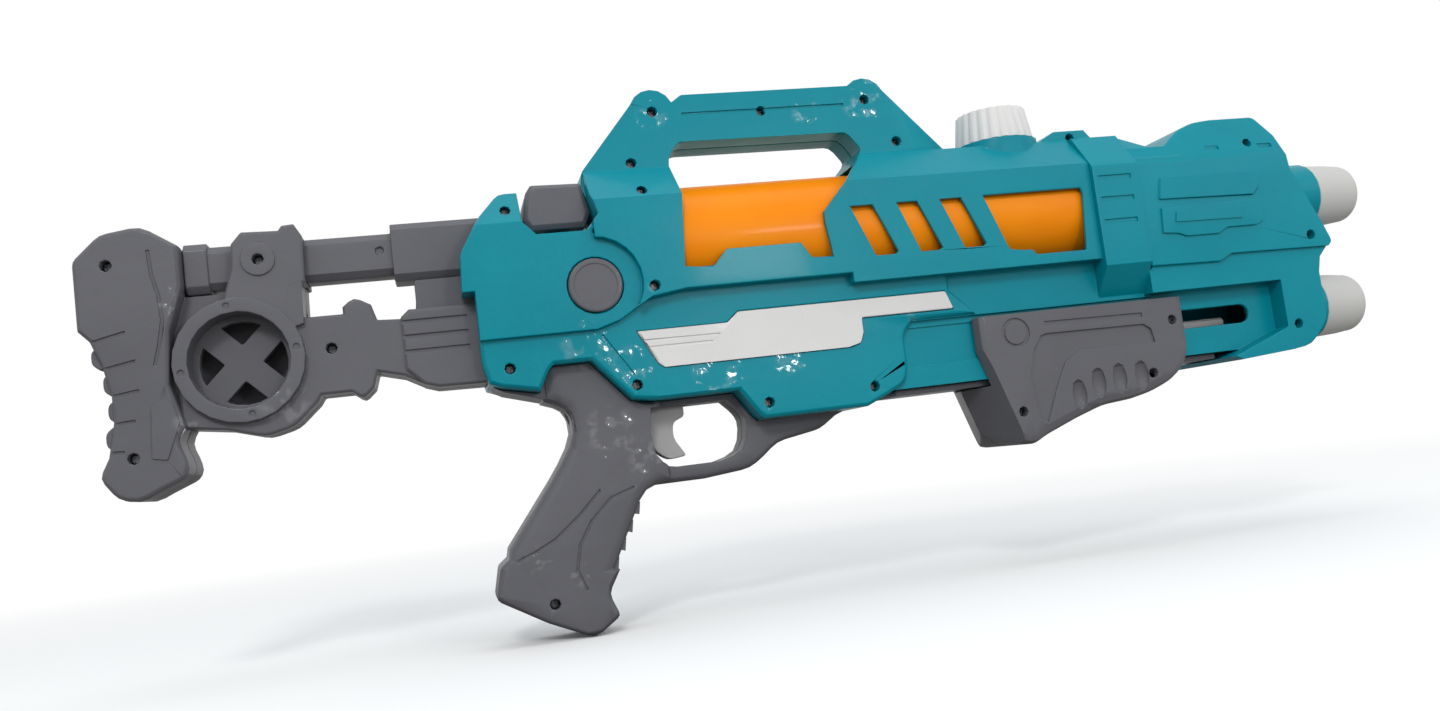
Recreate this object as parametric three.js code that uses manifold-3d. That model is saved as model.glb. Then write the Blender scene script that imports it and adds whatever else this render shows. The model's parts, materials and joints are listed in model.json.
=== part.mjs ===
// Pump-action water squirter: carry handle over a bottle tank, two nozzles, sliding foregrip, trigger
// and shoulder stock. Millimetres, X towards the muzzle, Y to the left, Z up. The origin is where the
// hand holds the pistol grip. The right side carries the screw wells.

import * as THREE from 'three';
import { mergeVertices } from 'three/addons/utils/BufferGeometryUtils.js';
import Module from 'manifold-3d';

const wasm = await Module();
wasm.setup();

// Ends of the whole part
const muzzleX = 423.8;
const buttX = -202;
const heelZ = -80;
const handleTopZ = 160.8;

// Fits
const gap = 0.3;
const run = 0.6;
const wall = 2.2;
const seam = 0.15;
const flatness = 0.06;

// Bottle tank and its neck
const tankRadius = 28;
const tankAxisZ = 91.3;
const tankRear = 44;
const tankFront = 263;
const tankWall = 1.6;
const tankEndRound = 9;
const neckX = 224;
const neckRadius = 13;
const neckBore = 10.5;
const neckHeight = 22.2;
const outletX = 100;

// Filler cap
const capRadius = 19.6;
const capTopRadius = 17.2;
const capTopWall = 2;
const capFlutes = 22;
const capFluteDepth = 0.7;
const sealThickness = 1.5;

// Half shells: half widths of the zones and the facet that turns in to the handle
const receiverHalf = 27;
const receiverFacetZ = 104;
const receiverTopZ = 120;
const housingHalf = tankRadius + run + wall;
const bandHalf = housingHalf + 3;
const bandTopHalf = 19;
const frontHalf = housingHalf + 1;
const frontLowHalf = frontHalf - 2;
const frontTopHalf = 20;
const frontFacetZ = 107;
const frontTopZ = 131.5;
const lowerHalf = 24;
const railTopHalf = 22;
const railHalf = 20;
const handleHalf = 14;
const ridgeZ = 110.5;
const shoulderZ = 126.5;
const earRearX = 47.7;
const earFrontX = 152.4;
const earZ = handleTopZ - 7.2;
const earRadius = 10.6;
const bandRear = 256;
const bandFront = 281;
const lipZ = 63;
const lipStep = 4.5;
const lipStepX = 128.5;
const ribThickness = 2;
const collarRadius = 21;
const collarHeight = 3;

// Round cap on the receiver
const discX = 10.2;
const discZ = 73;
const discRadius = 12;
const discThickness = 3;
const discProud = 1.2;
const bossRadius = 21;

// White side panels
const panelThickness = 2.4;
const panelProud = 0.9;

// Moulded surface detail
const grooveDepth = 0.8;
const padRise = 1.2;
const barRise = 0.7;

// Rail, slot and pump stroke
const railBottom = 12;
const railTop = 44;
const slotZ = 30;
const slotFront = 335;
const strokeBack = 32;
const strokeForward = 24;
const armX = 291;
const armRadius = 4;
const stripThickness = 2.6;
const stripHalf = 15;

// Foregrip
const foregripHalf = 27;
const foregripTop = 41.3;
const foregripRound = 4.5;
const foregripWall = 3;
const fingerRadius = 3.6;
const fingerDepth = 1.7;

// Pump
const pumpZ = 28;
const cylinderRadius = 9.5;
const cylinderBore = 7.8;
const cylinderRear = 84;
const cylinderEnd = 2.5;
const pistonLength = 7;
const rodRadius = 2.5;
const rodFront = 337;
const portRadius = 3.5;
const portHeight = 6;
const hoseRadius = 4;
const hoseBore = 2.4;
const portBore = hoseBore - 0.6;

// Nozzles and splitter
const nozzleRadius = 16.5;
const nozzleTipRadius = 13.5;
const nozzleLength = 27;
const nozzleUpperZ = 90;
const nozzleLowerZ = 31;
const nozzleUpperX = muzzleX - nozzleLength;
const nozzleLowerX = nozzleUpperX - 6.8;
const nozzleSeatDepth = 30;
const spigotRadius = 10;
const spigotRear = nozzleLowerX - 5.5;
const jetRadius = 2.5;
const splitterX = spigotRear - 22.5;
const splitterY = 7.5;
const splitterRadius = 3.5;
const splitterBore = 1.6;
const splitterInletZ = 60;

// Trigger and valve
const triggerX = 37;
const triggerZ = 28;
const triggerHalf = 4.5;
const barrelRadius = 4.2;
const pinRadius = 2;
const pinHalf = 18;
const valveZ = 42;
const valveRear = 56;
const valveFront = 77;
const valveSeat = valveFront - 6;
const valveRadius = 7;
const plungerRadius = 2;
const plungerRear = triggerX + 4 + gap;
const flangeRadius = 4.4;
const springWire = 0.5;

// Pistol grip
const gripHalf = 16;
const gripRound = 5;
const guardHalf = 10;
const guardRound = 2.5;

// Shoulder stock
const buttHalf = 17;
const armHalf = 12;
const bracketHalf = 15;
const bracketZ = 99;
const ribBlockHalf = 14;
const tubeRear = buttX + 39;
const tubeHalf = 8;
const tubeBottom = 88.8;
const tubeTop = 107.8;
const sleeveHalf = 10;
const sleeveRear = -75;
const sleeveBottom = 85.6;
const sleeveTop = 111.4;
const stockFront = -36;
const wheelX = buttX + 61;
const bracketX = wheelX + 11;
const wheelZ = 57;
const wheelRadius = 26.5;
const wheelHalf = 16;
const wheelHole = 20.5;
const wheelPlateHalf = 2.5;
const wheelBackWall = 3;
const webHalf = 6;
const spokeWidth = 11;
const dimpleCircle = 23.4;
const dimpleRadius = 1.5;

// Screws
const wellRadius = 2.4;
const headRadius = 2.1;
const headHeight = 1.6;
const shankRadius = 1.2;
const bossWall = 1.1;
const wellDepth = 6;
const screwReach = 8;

// Outlines in X and Z: a third number rounds the corner over that length
const upperOutline = [
  [-42, 53.5], [-42, 75], [-47.5, 75], [-46.5, 92, 2], [-36.5, 108.5], [-27, 120, 3], [-18.5, 120],
  [-18.5, 104], [-13, 98], [9, 98], [14.5, 104], [10.5, 119.5], [11, 126.5, 3],
  [earRearX - 8, earZ + 6], [earRearX + 9.5, earZ + 4], [62, handleTopZ], [143, handleTopZ],
  [earFrontX + 7, earZ + 7], [189.5, shoulderZ], [241, shoulderZ], [250.5, 131.5], [267, 131.5],
  [270.5, 127], [bandFront + 1, 127], [296, 118], [309, 118], [309, lipZ],
  [lipStepX, lipZ], [lipStepX, lipZ + lipStep], [50, lipZ + lipStep], [33.5, lipZ + 2], [19, 56.5], [9, 53.5],
];
const handleWindow = [
  [52.5, 131, 3], [54.5, 79], [67.5, 79], [75, 87], [110.5, 87], [115, 79.5], [124.5, 78.5],
  [123, 93, 5], [128, 106.5, 5], [142, 122], [147.5, 129, 2], [141, 138, 3], [58, 138.5, 3],
];
const slotOutline = [[131.5, 98.5], [142.5, 98.5], [152.3, 75.5], [150.5, 74.3], [141.2, 74.3]];
const slotCount = 3;
const slotPitch = 22.3;
const frontWindow = [
  [197.8, 98.5], [250, 98.5], [251, 96], [248.5, 68], [221.8, 68], [220, 70.5], [209, 71], [207.5, 73.5],
];
const frontOutline = [
  [bandFront, 44], [bandFront, 117], [302, 117], [307, 121], [314.5, 126, 3], [324, 129.4, 3], [335, 130.5],
  [360, 130.5, 2], [366, 119.3], [368, 100.5], [381, 72.6], [385.7, 61, 1.5], [379, 54], [377, 46],
  [377, 22, 4], [366, 10, 4], [353.5, 8.4], [353.5, 44],
];
const chinOutline = [[356, 8.6], [325, 6.5], [321, 8.5], [353.5, 20], [356, 20]];
const upperPad = [[293, 99.8], [344.6, 99.5], [348.4, 96.6], [347.4, 91.6], [343.7, 88], [291, 89.2]];
const lowerPad = [
  [291, 84.6], [344, 85], [347.2, 82], [347, 74.3], [342.3, 72.4], [325.8, 72.5], [321, 69.8], [302.7, 69.9],
  [298.8, 71.6], [290, 72.4],
];
const padBar = [[298.3, 82.1], [335.8, 82.1], [334.8, 76.6], [297.4, 77.2]];
const railPanel = [[154.5, 22.3], [155.5, 40], [195, 40], [195, 22.3]];
const bandGrooveHeights = [101.9, 91.4, 80.2];
const handleGroove = [[61.5, 151.6], [141.5, 151.6]];
const frontDashes = [[[323.5, 114.3], [331.5, 114]], [[354, 113.4], [362, 113.2]]];
const receiverCrease = [[11, 51], [23, 32]];
const lowerOutline = [
  [-42, 53.5], [-42, 44], [-40, 35], [-35, 33], [-18.5, 29.5], [-14, 38], [-11.5, 40.5], [5, 40.5],
  [21.5, 21.5], [31, 20], [70, 20], [78, 8], [80.5, 6], [130, 6], [141, 10.5, 3], [150, 15, 3], [152, 23, 3],
  [152, 37, 3], [157, 43.5], [190, 43.5], [178, 56], [178, lipZ + 12], [19, lipZ + 12], [-42, lipZ + 12],
];
const panelGrooves = [[[29.5, 46.4], [64, 46.4]], [[31.5, 43.3], [60, 43.3]]];
const panelOutline = [
  [26.5, 51], [68, 51], [73.5, 55.5], [175, 55.5], [178, 47], [132, 47], [132, 34, 8], [37, 34], [34.5, 36],
];
const foregripOutline = [
  [188, 47], [188, -3, 4], [191.5, -12, 4], [203, -20.5, 4], [210, -21.5, 3], [217, -17.8, 4],
  [234, -11.6, 4], [249, -7, 4], [264, -5.9, 4], [276, -3.4, 4], [288, 1, 5], [295.5, 7, 5], [299, 15, 4],
  [299, 47],
];
const keelFacet = [[194.3, 27, 12], [201.4, 27, -9.9], [189.5, 2, 2]];
const foregripBar = [[222.5, 35.9], [275, 35.1], [274.8, 32.9], [222.3, 33.5]];
const foregripArch = [
  [211, 11], [214.9, 22.4], [219.6, 29.3], [223.2, 30.2], [275, 29.6], [278.8, 26.8], [280, 20],
  [238.5, 20.2], [230.5, 15.6], [224.5, 4.8], [217, -12], [213, -10],
];
const foregripRing = [206.9, 31.9, 7.2, 5.6];
const fingerPlaces = [[235.4, -0.9], [246.4, 3.6], [257.9, 4.6], [269.9, 4.6]];
const gripOutline = [
  [-17, 25.5], [-7.5, 22, 4], [-4, 11, 8], [-12, -3, 8], [-38.5, -37], [-42, -52], [-24, -66], [-2, -72],
  [1.5, -60], [23.5, -18, 6], [36, -16], [36, 30], [8, 50], [-17, 50],
];
const heelOutline = [
  [-39, heelZ + 39], [-43.5, heelZ + 35.5, 1], [-46.5, heelZ + 22, 2], [-26, heelZ + 9.5], [-6, heelZ, 4],
  [6, heelZ + 8, 2], [2, heelZ + 18, 3], [8, heelZ + 28],
];
const tangOutline = [[-40, 36], [-40, 35], [-33.5, 31.3], [-16, 26.2], [-6, 25], [-6, 46], [-30, 46]];
const guardOutline = [
  [24, 24], [24, -17.5], [52, -17.5], [74, -15.5, 4], [81, -11, 3], [88.5, -5, 4], [110, -1.5, 3], [118.5, 4],
  [124, 6], [124, 12], [90, 24],
];
const guardHole = [
  [30, 17], [28.5, 6], [30, -4], [35, -10.5, 5], [60, -10.5], [72, -7.5, 6], [75, 4, 5], [74, 10, 4],
  [67, 17],
];
const gripLines = [
  [[3.2, -16.4], [-6.9, -26.1], [-18.9, -35.4], [-28.2, -39.8], [-36, -42.4]],
  [[18.1, -17], [7.2, -20.5], [-1.9, -29], [-8.4, -39.1], [-10.9, -49.7], [-7.5, -59]],
];
const triggerOutline = [
  [33, 47], [41, 47], [41, 30], [47, 21], [47, 12, 1.5], [41.5, 10, 2], [40.5, 3, 3], [46, -6, 1.5],
  [38, -7, 2], [32, -3, 3], [27.5, 7, 3], [27.5, 19], [33, 26],
];
const buttOutline = [
  [buttX, 104, 2], [buttX + 11, 114.5, 3], [buttX + 27, 117, 4], [buttX + 41, 107.5], [buttX + 41, 90],
  [buttX + 35, 72], [buttX + 33, 50], [buttX + 38, 32], [buttX + 34.5, 26, 3], [buttX + 36.8, 20],
  [buttX + 38.5, 14, 3], [buttX + 36, 10, 2], [buttX + 25.5, 5.7], [buttX + 18, 2.2, 4], [buttX + 10, 5, 3],
  [buttX + 3.8, 14, 3],
  [buttX + 8, 22], [buttX + 11, 36], [buttX + 11, 47], [buttX + 8.5, 59], [buttX + 4.5, 70], [buttX, 75],
];
const buttLine = shifted([
  [29.4, 106.3], [30.1, 95.7], [32.1, 87.1], [32.8, 76.5], [30.7, 65.8], [28.5, 57.7],
], buttX);
const buttPad = shifted([
  [25.9, 40.2], [28.5, 43], [32.5, 43.8], [34, 41], [36.2, 33.5], [30.4, 18.6], [24.8, 19.7],
], buttX);
const buttWeb = [
  [buttX + 30, 60], [buttX + 37, 87], [wheelX + 1, 87], [wheelX + 1, 70], [wheelX - 19, 60],
];
const bracketOutline = shifted([
  [-6, 78], [0, 97], [0.5, 106.5], [5, 111.5], [20, 111], [21.5, 113], [26.5, 113.4],
  [29.5, 108], [29, 88], [23, 86], [20, 68],
], wheelX);
const stockArmOutline = [
  [wheelX + 19, 73], [-98, 73], [-98, 76], [-93, 80, 3], [-86, 76], [-84, 69], [-74.5, 68.5], [-70.5, 72],
  [-66, 72], [-61, 37], [-67, 39], [-75, 43.5], [-86, 46.5], [-88, 40], [-93, 35.5, 2], [-97.5, 39],
  [wheelX + 31, 39], [wheelX + 29, 36], [wheelX + 19, 27, 3], [wheelX + 7, 24, 3],
  [wheelX - 8, 28.5], [wheelX - 25, 31], [wheelX - 25, 60],
];
const ribBlockOutline = [
  [-74, 46], [-74, 69], [-70.5, 72], [stockFront, 72], [stockFront, 36.5], [-61, 37], [-67, 39],
];
const rearBlockOutline = [
  [-12.5, 122], [10, 121.5], [13, 107.5], [10, 101.5], [-14.5, 101.5], [-17.3, 106], [-15, 118.5],
];

const teal = new THREE.MeshStandardMaterial({ color: 0x108796, roughness: 0.35, metalness: 0 });
const grey = new THREE.MeshStandardMaterial({ color: 0x626266, roughness: 0.45, metalness: 0 });
const orange = new THREE.MeshStandardMaterial({ color: 0xe88c1e, roughness: 0.3, metalness: 0 });
const white = new THREE.MeshStandardMaterial({ color: 0xd7d5d5, roughness: 0.4, metalness: 0 });
const pale = new THREE.MeshStandardMaterial({ color: 0xb9b8b6, roughness: 0.45, metalness: 0 });
const rubber = new THREE.MeshStandardMaterial({ color: 0x2b2b2d, roughness: 0.8, metalness: 0 });
const hosePlastic = new THREE.MeshStandardMaterial({ color: 0xcfd2cf, roughness: 0.4, metalness: 0 });
const steel = new THREE.MeshStandardMaterial({ color: 0x8d8f92, roughness: 0.35, metalness: 0.9 });

// A closed geometry as a solid with its faces pointing out.
function solid(geometry) {
  geometry.deleteAttribute('normal');
  geometry.deleteAttribute('uv');
  const merged = mergeVertices(geometry, 1e-4);
  const points = merged.attributes.position;
  const corners = [0, 1, 2].map(() => new THREE.Vector3());
  const faces = [];
  let volume = 0;
  for (let i = 0; i < merged.index.count; i += 3) {
    const face = [0, 1, 2].map((k) => merged.index.getX(i + k));
    if (new Set(face).size < 3) continue;
    face.forEach((vertex, k) => corners[k].fromBufferAttribute(points, vertex));
    volume += corners[0].dot(corners[1].clone().cross(corners[2]));
    faces.push(face);
  }
  if (volume < 0) faces.forEach((face) => face.reverse());
  const triVerts = Uint32Array.from(faces.flat());
  const vertProperties = Float32Array.from(points.array);
  return new wasm.Manifold(new wasm.Mesh({ numProp: 3, vertProperties, triVerts }));
}

function union(...solids) {
  return solids.reduce((sum, next) => sum.add(next));
}

function cut(body, ...tools) {
  return tools.reduce((rest, tool) => rest.subtract(tool), body);
}

// Each corner becomes a point, or a curve over its rounding length.
function trace(path, corners) {
  const count = corners.length;
  corners.forEach(([x, z, rounding = 0], index) => {
    const corner = new THREE.Vector2(x, z);
    const before = new THREE.Vector2(...corners[(index + count - 1) % count].slice(0, 2));
    const after = new THREE.Vector2(...corners[(index + 1) % count].slice(0, 2));
    const start = corner.clone().lerp(before, Math.min(0.48, rounding / corner.distanceTo(before)));
    const end = corner.clone().lerp(after, Math.min(0.48, rounding / corner.distanceTo(after)));
    if (index === 0) path.moveTo(start.x, start.y);
    else path.lineTo(start.x, start.y);
    if (rounding > 0) path.quadraticCurveTo(x, z, end.x, end.y);
  });
  path.closePath();
  return path;
}

// An X and Z outline as a slab across Y.
function slab(corners, yFrom, yTo, bevel = 0, bevelSegments = 2, curveSegments = 2) {
  const depth = yTo - yFrom - 2 * bevel;
  const geometry = new THREE.ExtrudeGeometry(trace(new THREE.Shape(), corners), {
    depth,
    curveSegments,
    bevelEnabled: bevel > 0,
    bevelThickness: bevel,
    bevelSize: bevel,
    bevelOffset: -bevel,
    bevelSegments,
  });
  geometry.rotateX(Math.PI / 2);
  geometry.translate(0, yTo - bevel, 0);
  return solid(geometry);
}

function bothSides(corners, half, bevel = 0, bevelSegments = 2) {
  return slab(corners, -half, half, bevel, bevelSegments);
}

// A Y and Z section as a prism along X.
function prism(corners, xFrom, xTo) {
  const geometry = new THREE.ExtrudeGeometry(trace(new THREE.Shape(), corners), {
    depth: xTo - xFrom,
    curveSegments: 3,
    bevelEnabled: false,
  });
  const turn = new THREE.Matrix4().makeBasis(
    new THREE.Vector3(0, 1, 0),
    new THREE.Vector3(0, 0, 1),
    new THREE.Vector3(1, 0, 0),
  );
  geometry.applyMatrix4(turn);
  geometry.translate(xFrom, 0, 0);
  return solid(geometry);
}

function box(xFrom, xTo, yFrom, yTo, zFrom, zTo) {
  const geometry = new THREE.BoxGeometry(xTo - xFrom, yTo - yFrom, zTo - zFrom);
  geometry.translate((xFrom + xTo) / 2, (yFrom + yTo) / 2, (zFrom + zTo) / 2);
  return solid(geometry);
}

// A profile of radius and height turned about an axis through a point.
function turned(axis, at, profile, segments = 16) {
  const geometry = new THREE.LatheGeometry(profile.map(([r, h]) => new THREE.Vector2(r, h)), segments);
  if (axis === 'x') geometry.rotateZ(-Math.PI / 2);
  if (axis === 'z') geometry.rotateX(Math.PI / 2);
  geometry.translate(...at);
  return solid(geometry);
}

function rod(axis, at, radius, from, to, segments = 16) {
  return turned(axis, at, [[0, from], [radius, from], [radius, to], [0, to]], segments);
}

function pipe(axis, at, radius, bore, from, to, segments = 16) {
  return turned(axis, at, [[bore, from], [radius, from], [radius, to], [bore, to], [bore, from]], segments);
}

// A round section swept along points, with a bore when one is given.
function sweep(points, radius, bore, steps, sides) {
  const vectors = points.map((p) => new THREE.Vector3(...p));
  const path = new THREE.CatmullRomCurve3(vectors);
  const ring = (r) => Array.from({ length: sides }, (_, k) => {
    const angle = (2 * Math.PI * k) / sides;
    return new THREE.Vector2(r * Math.cos(angle), r * Math.sin(angle));
  });
  const section = new THREE.Shape(ring(radius));
  if (bore > 0) section.holes.push(new THREE.Path(ring(bore).reverse()));
  return solid(new THREE.ExtrudeGeometry(section, { steps, extrudePath: path, bevelEnabled: false }));
}

// Compression spring along X with its coils between two planes.
function coil(xFrom, xTo, z, radius, turns) {
  const steps = turns * 8;
  const points = Array.from({ length: steps + 1 }, (_, k) => {
    const angle = (2 * Math.PI * turns * k) / steps;
    const x = xFrom + springWire + ((xTo - xFrom - 2 * springWire) * k) / steps;
    return [x, radius * Math.cos(angle), z + radius * Math.sin(angle)];
  });
  return sweep(points, springWire, 0, steps, 5);
}

// The outline moved inwards by a distance, or outwards when it is negative.
function inset(corners, distance) {
  const count = corners.length;
  const area = corners.reduce((sum, [x, z], i) => {
    const [nx, nz] = corners[(i + 1) % count];
    return sum + x * nz - nx * z;
  }, 0);
  const turn = Math.sign(area);
  const edge = (i) => {
    const [ax, az] = corners[(i + count) % count];
    const [bx, bz] = corners[(i + 1) % count];
    return new THREE.Vector2(bx - ax, bz - az).normalize();
  };
  return corners.map(([x, z, rounding = 0], i) => {
    const a = edge(i - 1);
    const b = edge(i);
    const normalA = new THREE.Vector2(-a.y, a.x).multiplyScalar(turn);
    const normalB = new THREE.Vector2(-b.y, b.x).multiplyScalar(turn);
    const bisector = normalA.clone().add(normalB);
    const shift = bisector.multiplyScalar(distance / (1 + normalA.dot(normalB)));
    return [x + shift.x, z + shift.y, rounding];
  });
}

function shifted(corners, dx) {
  return corners.map(([x, z, rounding = 0]) => [x + dx, z, rounding]);
}

// A line of points as a narrow band.
function ribbon(points, width) {
  const edge = (sign) => points.map(([x, z], i) => {
    const [ax, az] = points[Math.max(0, i - 1)];
    const [bx, bz] = points[Math.min(points.length - 1, i + 1)];
    const along = new THREE.Vector2(bx - ax, bz - az).normalize().multiplyScalar((sign * width) / 2);
    return [x - along.y, z + along.x];
  });
  return [...edge(1), ...edge(-1).reverse()];
}

// The body without its two rear corners, each cut by a facet through three points and its mirror image.
function cornered(body, facet, inwards = 0) {
  return [-1, 1].reduce((rest, sign) => {
    const [first, second, third] = facet.map(([x, y, z]) => new THREE.Vector3(x, sign * y, z));
    const normal = second.sub(first).cross(third.sub(first)).normalize();
    if (normal.x < 0) normal.negate();
    return rest.trimByPlane(normal.toArray(), normal.dot(first) + inwards);
  }, body);
}

// The same recess, or pad, on the two side faces of a body.
function recesses(corners, half, depth = grooveDepth) {
  return [slab(corners, -half - 5, depth - half), slab(corners, half - depth, half + 5)];
}

function pads(corners, half, rise) {
  return [slab(corners, -half - rise, 1 - half), slab(corners, half - 1, half + rise)];
}

// Y and Z section of a shell zone: straight sides, then a facet turning in to a narrow top.
function zone(half, facetZ, topHalf, topZ, inwards = 0) {
  const side = half - inwards;
  const top = topHalf - inwards;
  const facet = facetZ - 0.5 * inwards;
  return [
    [-side, -20], [-side, facet], [-top, topZ - 0.5 * inwards], [-top, 180],
    [top, 180], [top, topZ - 0.5 * inwards], [side, facet], [side, -20],
  ];
}

function zones(inwards) {
  const receiver = prism(zone(receiverHalf, receiverFacetZ, handleHalf, receiverTopZ, inwards), -60, 40);
  const housing = prism(zone(housingHalf, ridgeZ, handleHalf, shoulderZ + 0.5, inwards), 12, bandFront + 28);
  return union(receiver, housing);
}

// The screws of the shells: X, Z and half width of the shell there.
const shellScrews = [
  [-25, 110.5, 21], [earRearX, earZ, handleHalf], [35, 130, handleHalf], [36, 114, 26], [36, 70, housingHalf],
  [100, 151, handleHalf], [earFrontX, earZ, handleHalf], [166, 132, handleHalf], [-30.5, 40.5, lowerHalf],
  [24, 27.5, lowerHalf], [83, 13, lowerHalf], [134, 14.6, lowerHalf], [258.5, 127.5, handleHalf],
  [349, 115.5, 27], [374, 65, frontHalf], [360, 21, frontLowHalf],
];
const gripScrews = [[-22, -63, gripHalf]];
const stockScrews = [
  [buttX + 13, 101, buttHalf], [buttX + 17.5, 20.5, buttHalf], [bracketX, bracketZ, bracketHalf + 1],
  [-104, 58.5, armHalf],
];
const foregripScrews = [
  [armX, slotZ, foregripHalf + 2, -rodRadius - 2], [276.5, 5.2, foregripHalf], [205, -5.6, foregripHalf],
];

const screwSeat = (half) => -(half - wellDepth);

function screwBosses(screws) {
  return screws.map(([x, z, half]) => rod('y', [x, 0, z], wellRadius + bossWall, -half, half, 6));
}

function screwHoles(screws) {
  return screws.map(([x, z, half, reach = screwReach]) => union(
    rod('y', [x, 0, z], wellRadius, -half - 6, screwSeat(half), 8),
    rod('y', [x, 0, z], shankRadius + gap / 2, screwSeat(half) - 1, reach + gap, 6),
  ));
}

function screw([x, z, half, reach = screwReach]) {
  const seat = screwSeat(half) - gap / 2;
  return turned('y', [x, 0, z], [
    [0, seat - headHeight], [headRadius, seat - headHeight], [headRadius, seat], [shankRadius, seat],
    [shankRadius, reach], [0, reach],
  ], 6);
}

// Right and left halves of a body, bored for its screws.
function halves(body, screws) {
  const reach = 400;
  const bored = cut(body, ...screwHoles(screws));
  const right = bored.intersect(box(-reach, 2 * reach, -reach, -seam, -reach, reach));
  const left = bored.intersect(box(-reach, 2 * reach, seam, reach, -reach, reach));
  return [right, left];
}

function tankProfile(offset) {
  const r = tankRadius + offset;
  const rear = tankRear - offset;
  const front = tankFront + offset;
  const round = tankEndRound;
  const corner = (x, sign, steps) => Array.from({ length: steps + 1 }, (_, k) => {
    const angle = (Math.PI / 2) * (k / steps);
    return sign < 0
      ? [r - round + round * Math.sin(angle), x + round - round * Math.cos(angle)]
      : [r - round + round * Math.cos(angle), x - round + round * Math.sin(angle)];
  });
  return [[0, rear], ...corner(rear, -1, 2), ...corner(front, 1, 2), [0, front]];
}

const tankTop = tankAxisZ + tankRadius;
const tankBottom = tankAxisZ - tankRadius;
const neckTop = tankTop + neckHeight;
const outletLow = tankBottom - 4;

function makeTank() {
  const skin = turned('x', [0, 0, tankAxisZ], tankProfile(0), 20);
  const inside = turned('x', [0, 0, tankAxisZ], tankProfile(-tankWall), 20);
  const neck = rod('z', [neckX, 0, 0], neckRadius, tankTop - 6, neckTop, 20);
  const outlet = rod('z', [outletX, 0, 0], portRadius, outletLow, tankBottom + 1, 10);
  return cut(
    union(skin, neck, outlet),
    inside,
    rod('z', [neckX, 0, 0], neckBore, tankTop - 8, neckTop + 1, 20),
    rod('z', [outletX, 0, 0], portBore, outletLow - 1, tankBottom + 3, 8),
  );
}

// The cap is a fluted skirt that tapers to its top, over the neck.
const capBottom = shoulderZ + collarHeight + gap;
const capTop = neckTop + sealThickness + 2 * gap + capTopWall;

function makeCap() {
  const points = Array.from({ length: capFlutes * 4 }, (_, k) => {
    const angle = (2 * Math.PI * k) / (capFlutes * 4);
    const r = capRadius - (k % 4 < 2 ? 0 : capFluteDepth);
    return new THREE.Vector2(r * Math.cos(angle), r * Math.sin(angle));
  });
  const height = capTop - capBottom;
  const geometry = new THREE.ExtrudeGeometry(new THREE.Shape(points), { depth: height, bevelEnabled: false });
  const position = geometry.attributes.position;
  for (let i = 0; i < position.count; i += 1) {
    const scale = THREE.MathUtils.lerp(1, capTopRadius / capRadius, position.getZ(i) / height);
    position.setXY(i, position.getX(i) * scale, position.getY(i) * scale);
  }
  geometry.translate(neckX, 0, capBottom);
  const inside = rod('z', [neckX, 0, 0], neckRadius + run, capBottom - 1, capTop - capTopWall, 20);
  return cut(solid(geometry), inside);
}

function makeSeal() {
  return rod('z', [neckX, 0, 0], neckRadius - gap, neckTop + gap, neckTop + gap + sealThickness, 16);
}

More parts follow.
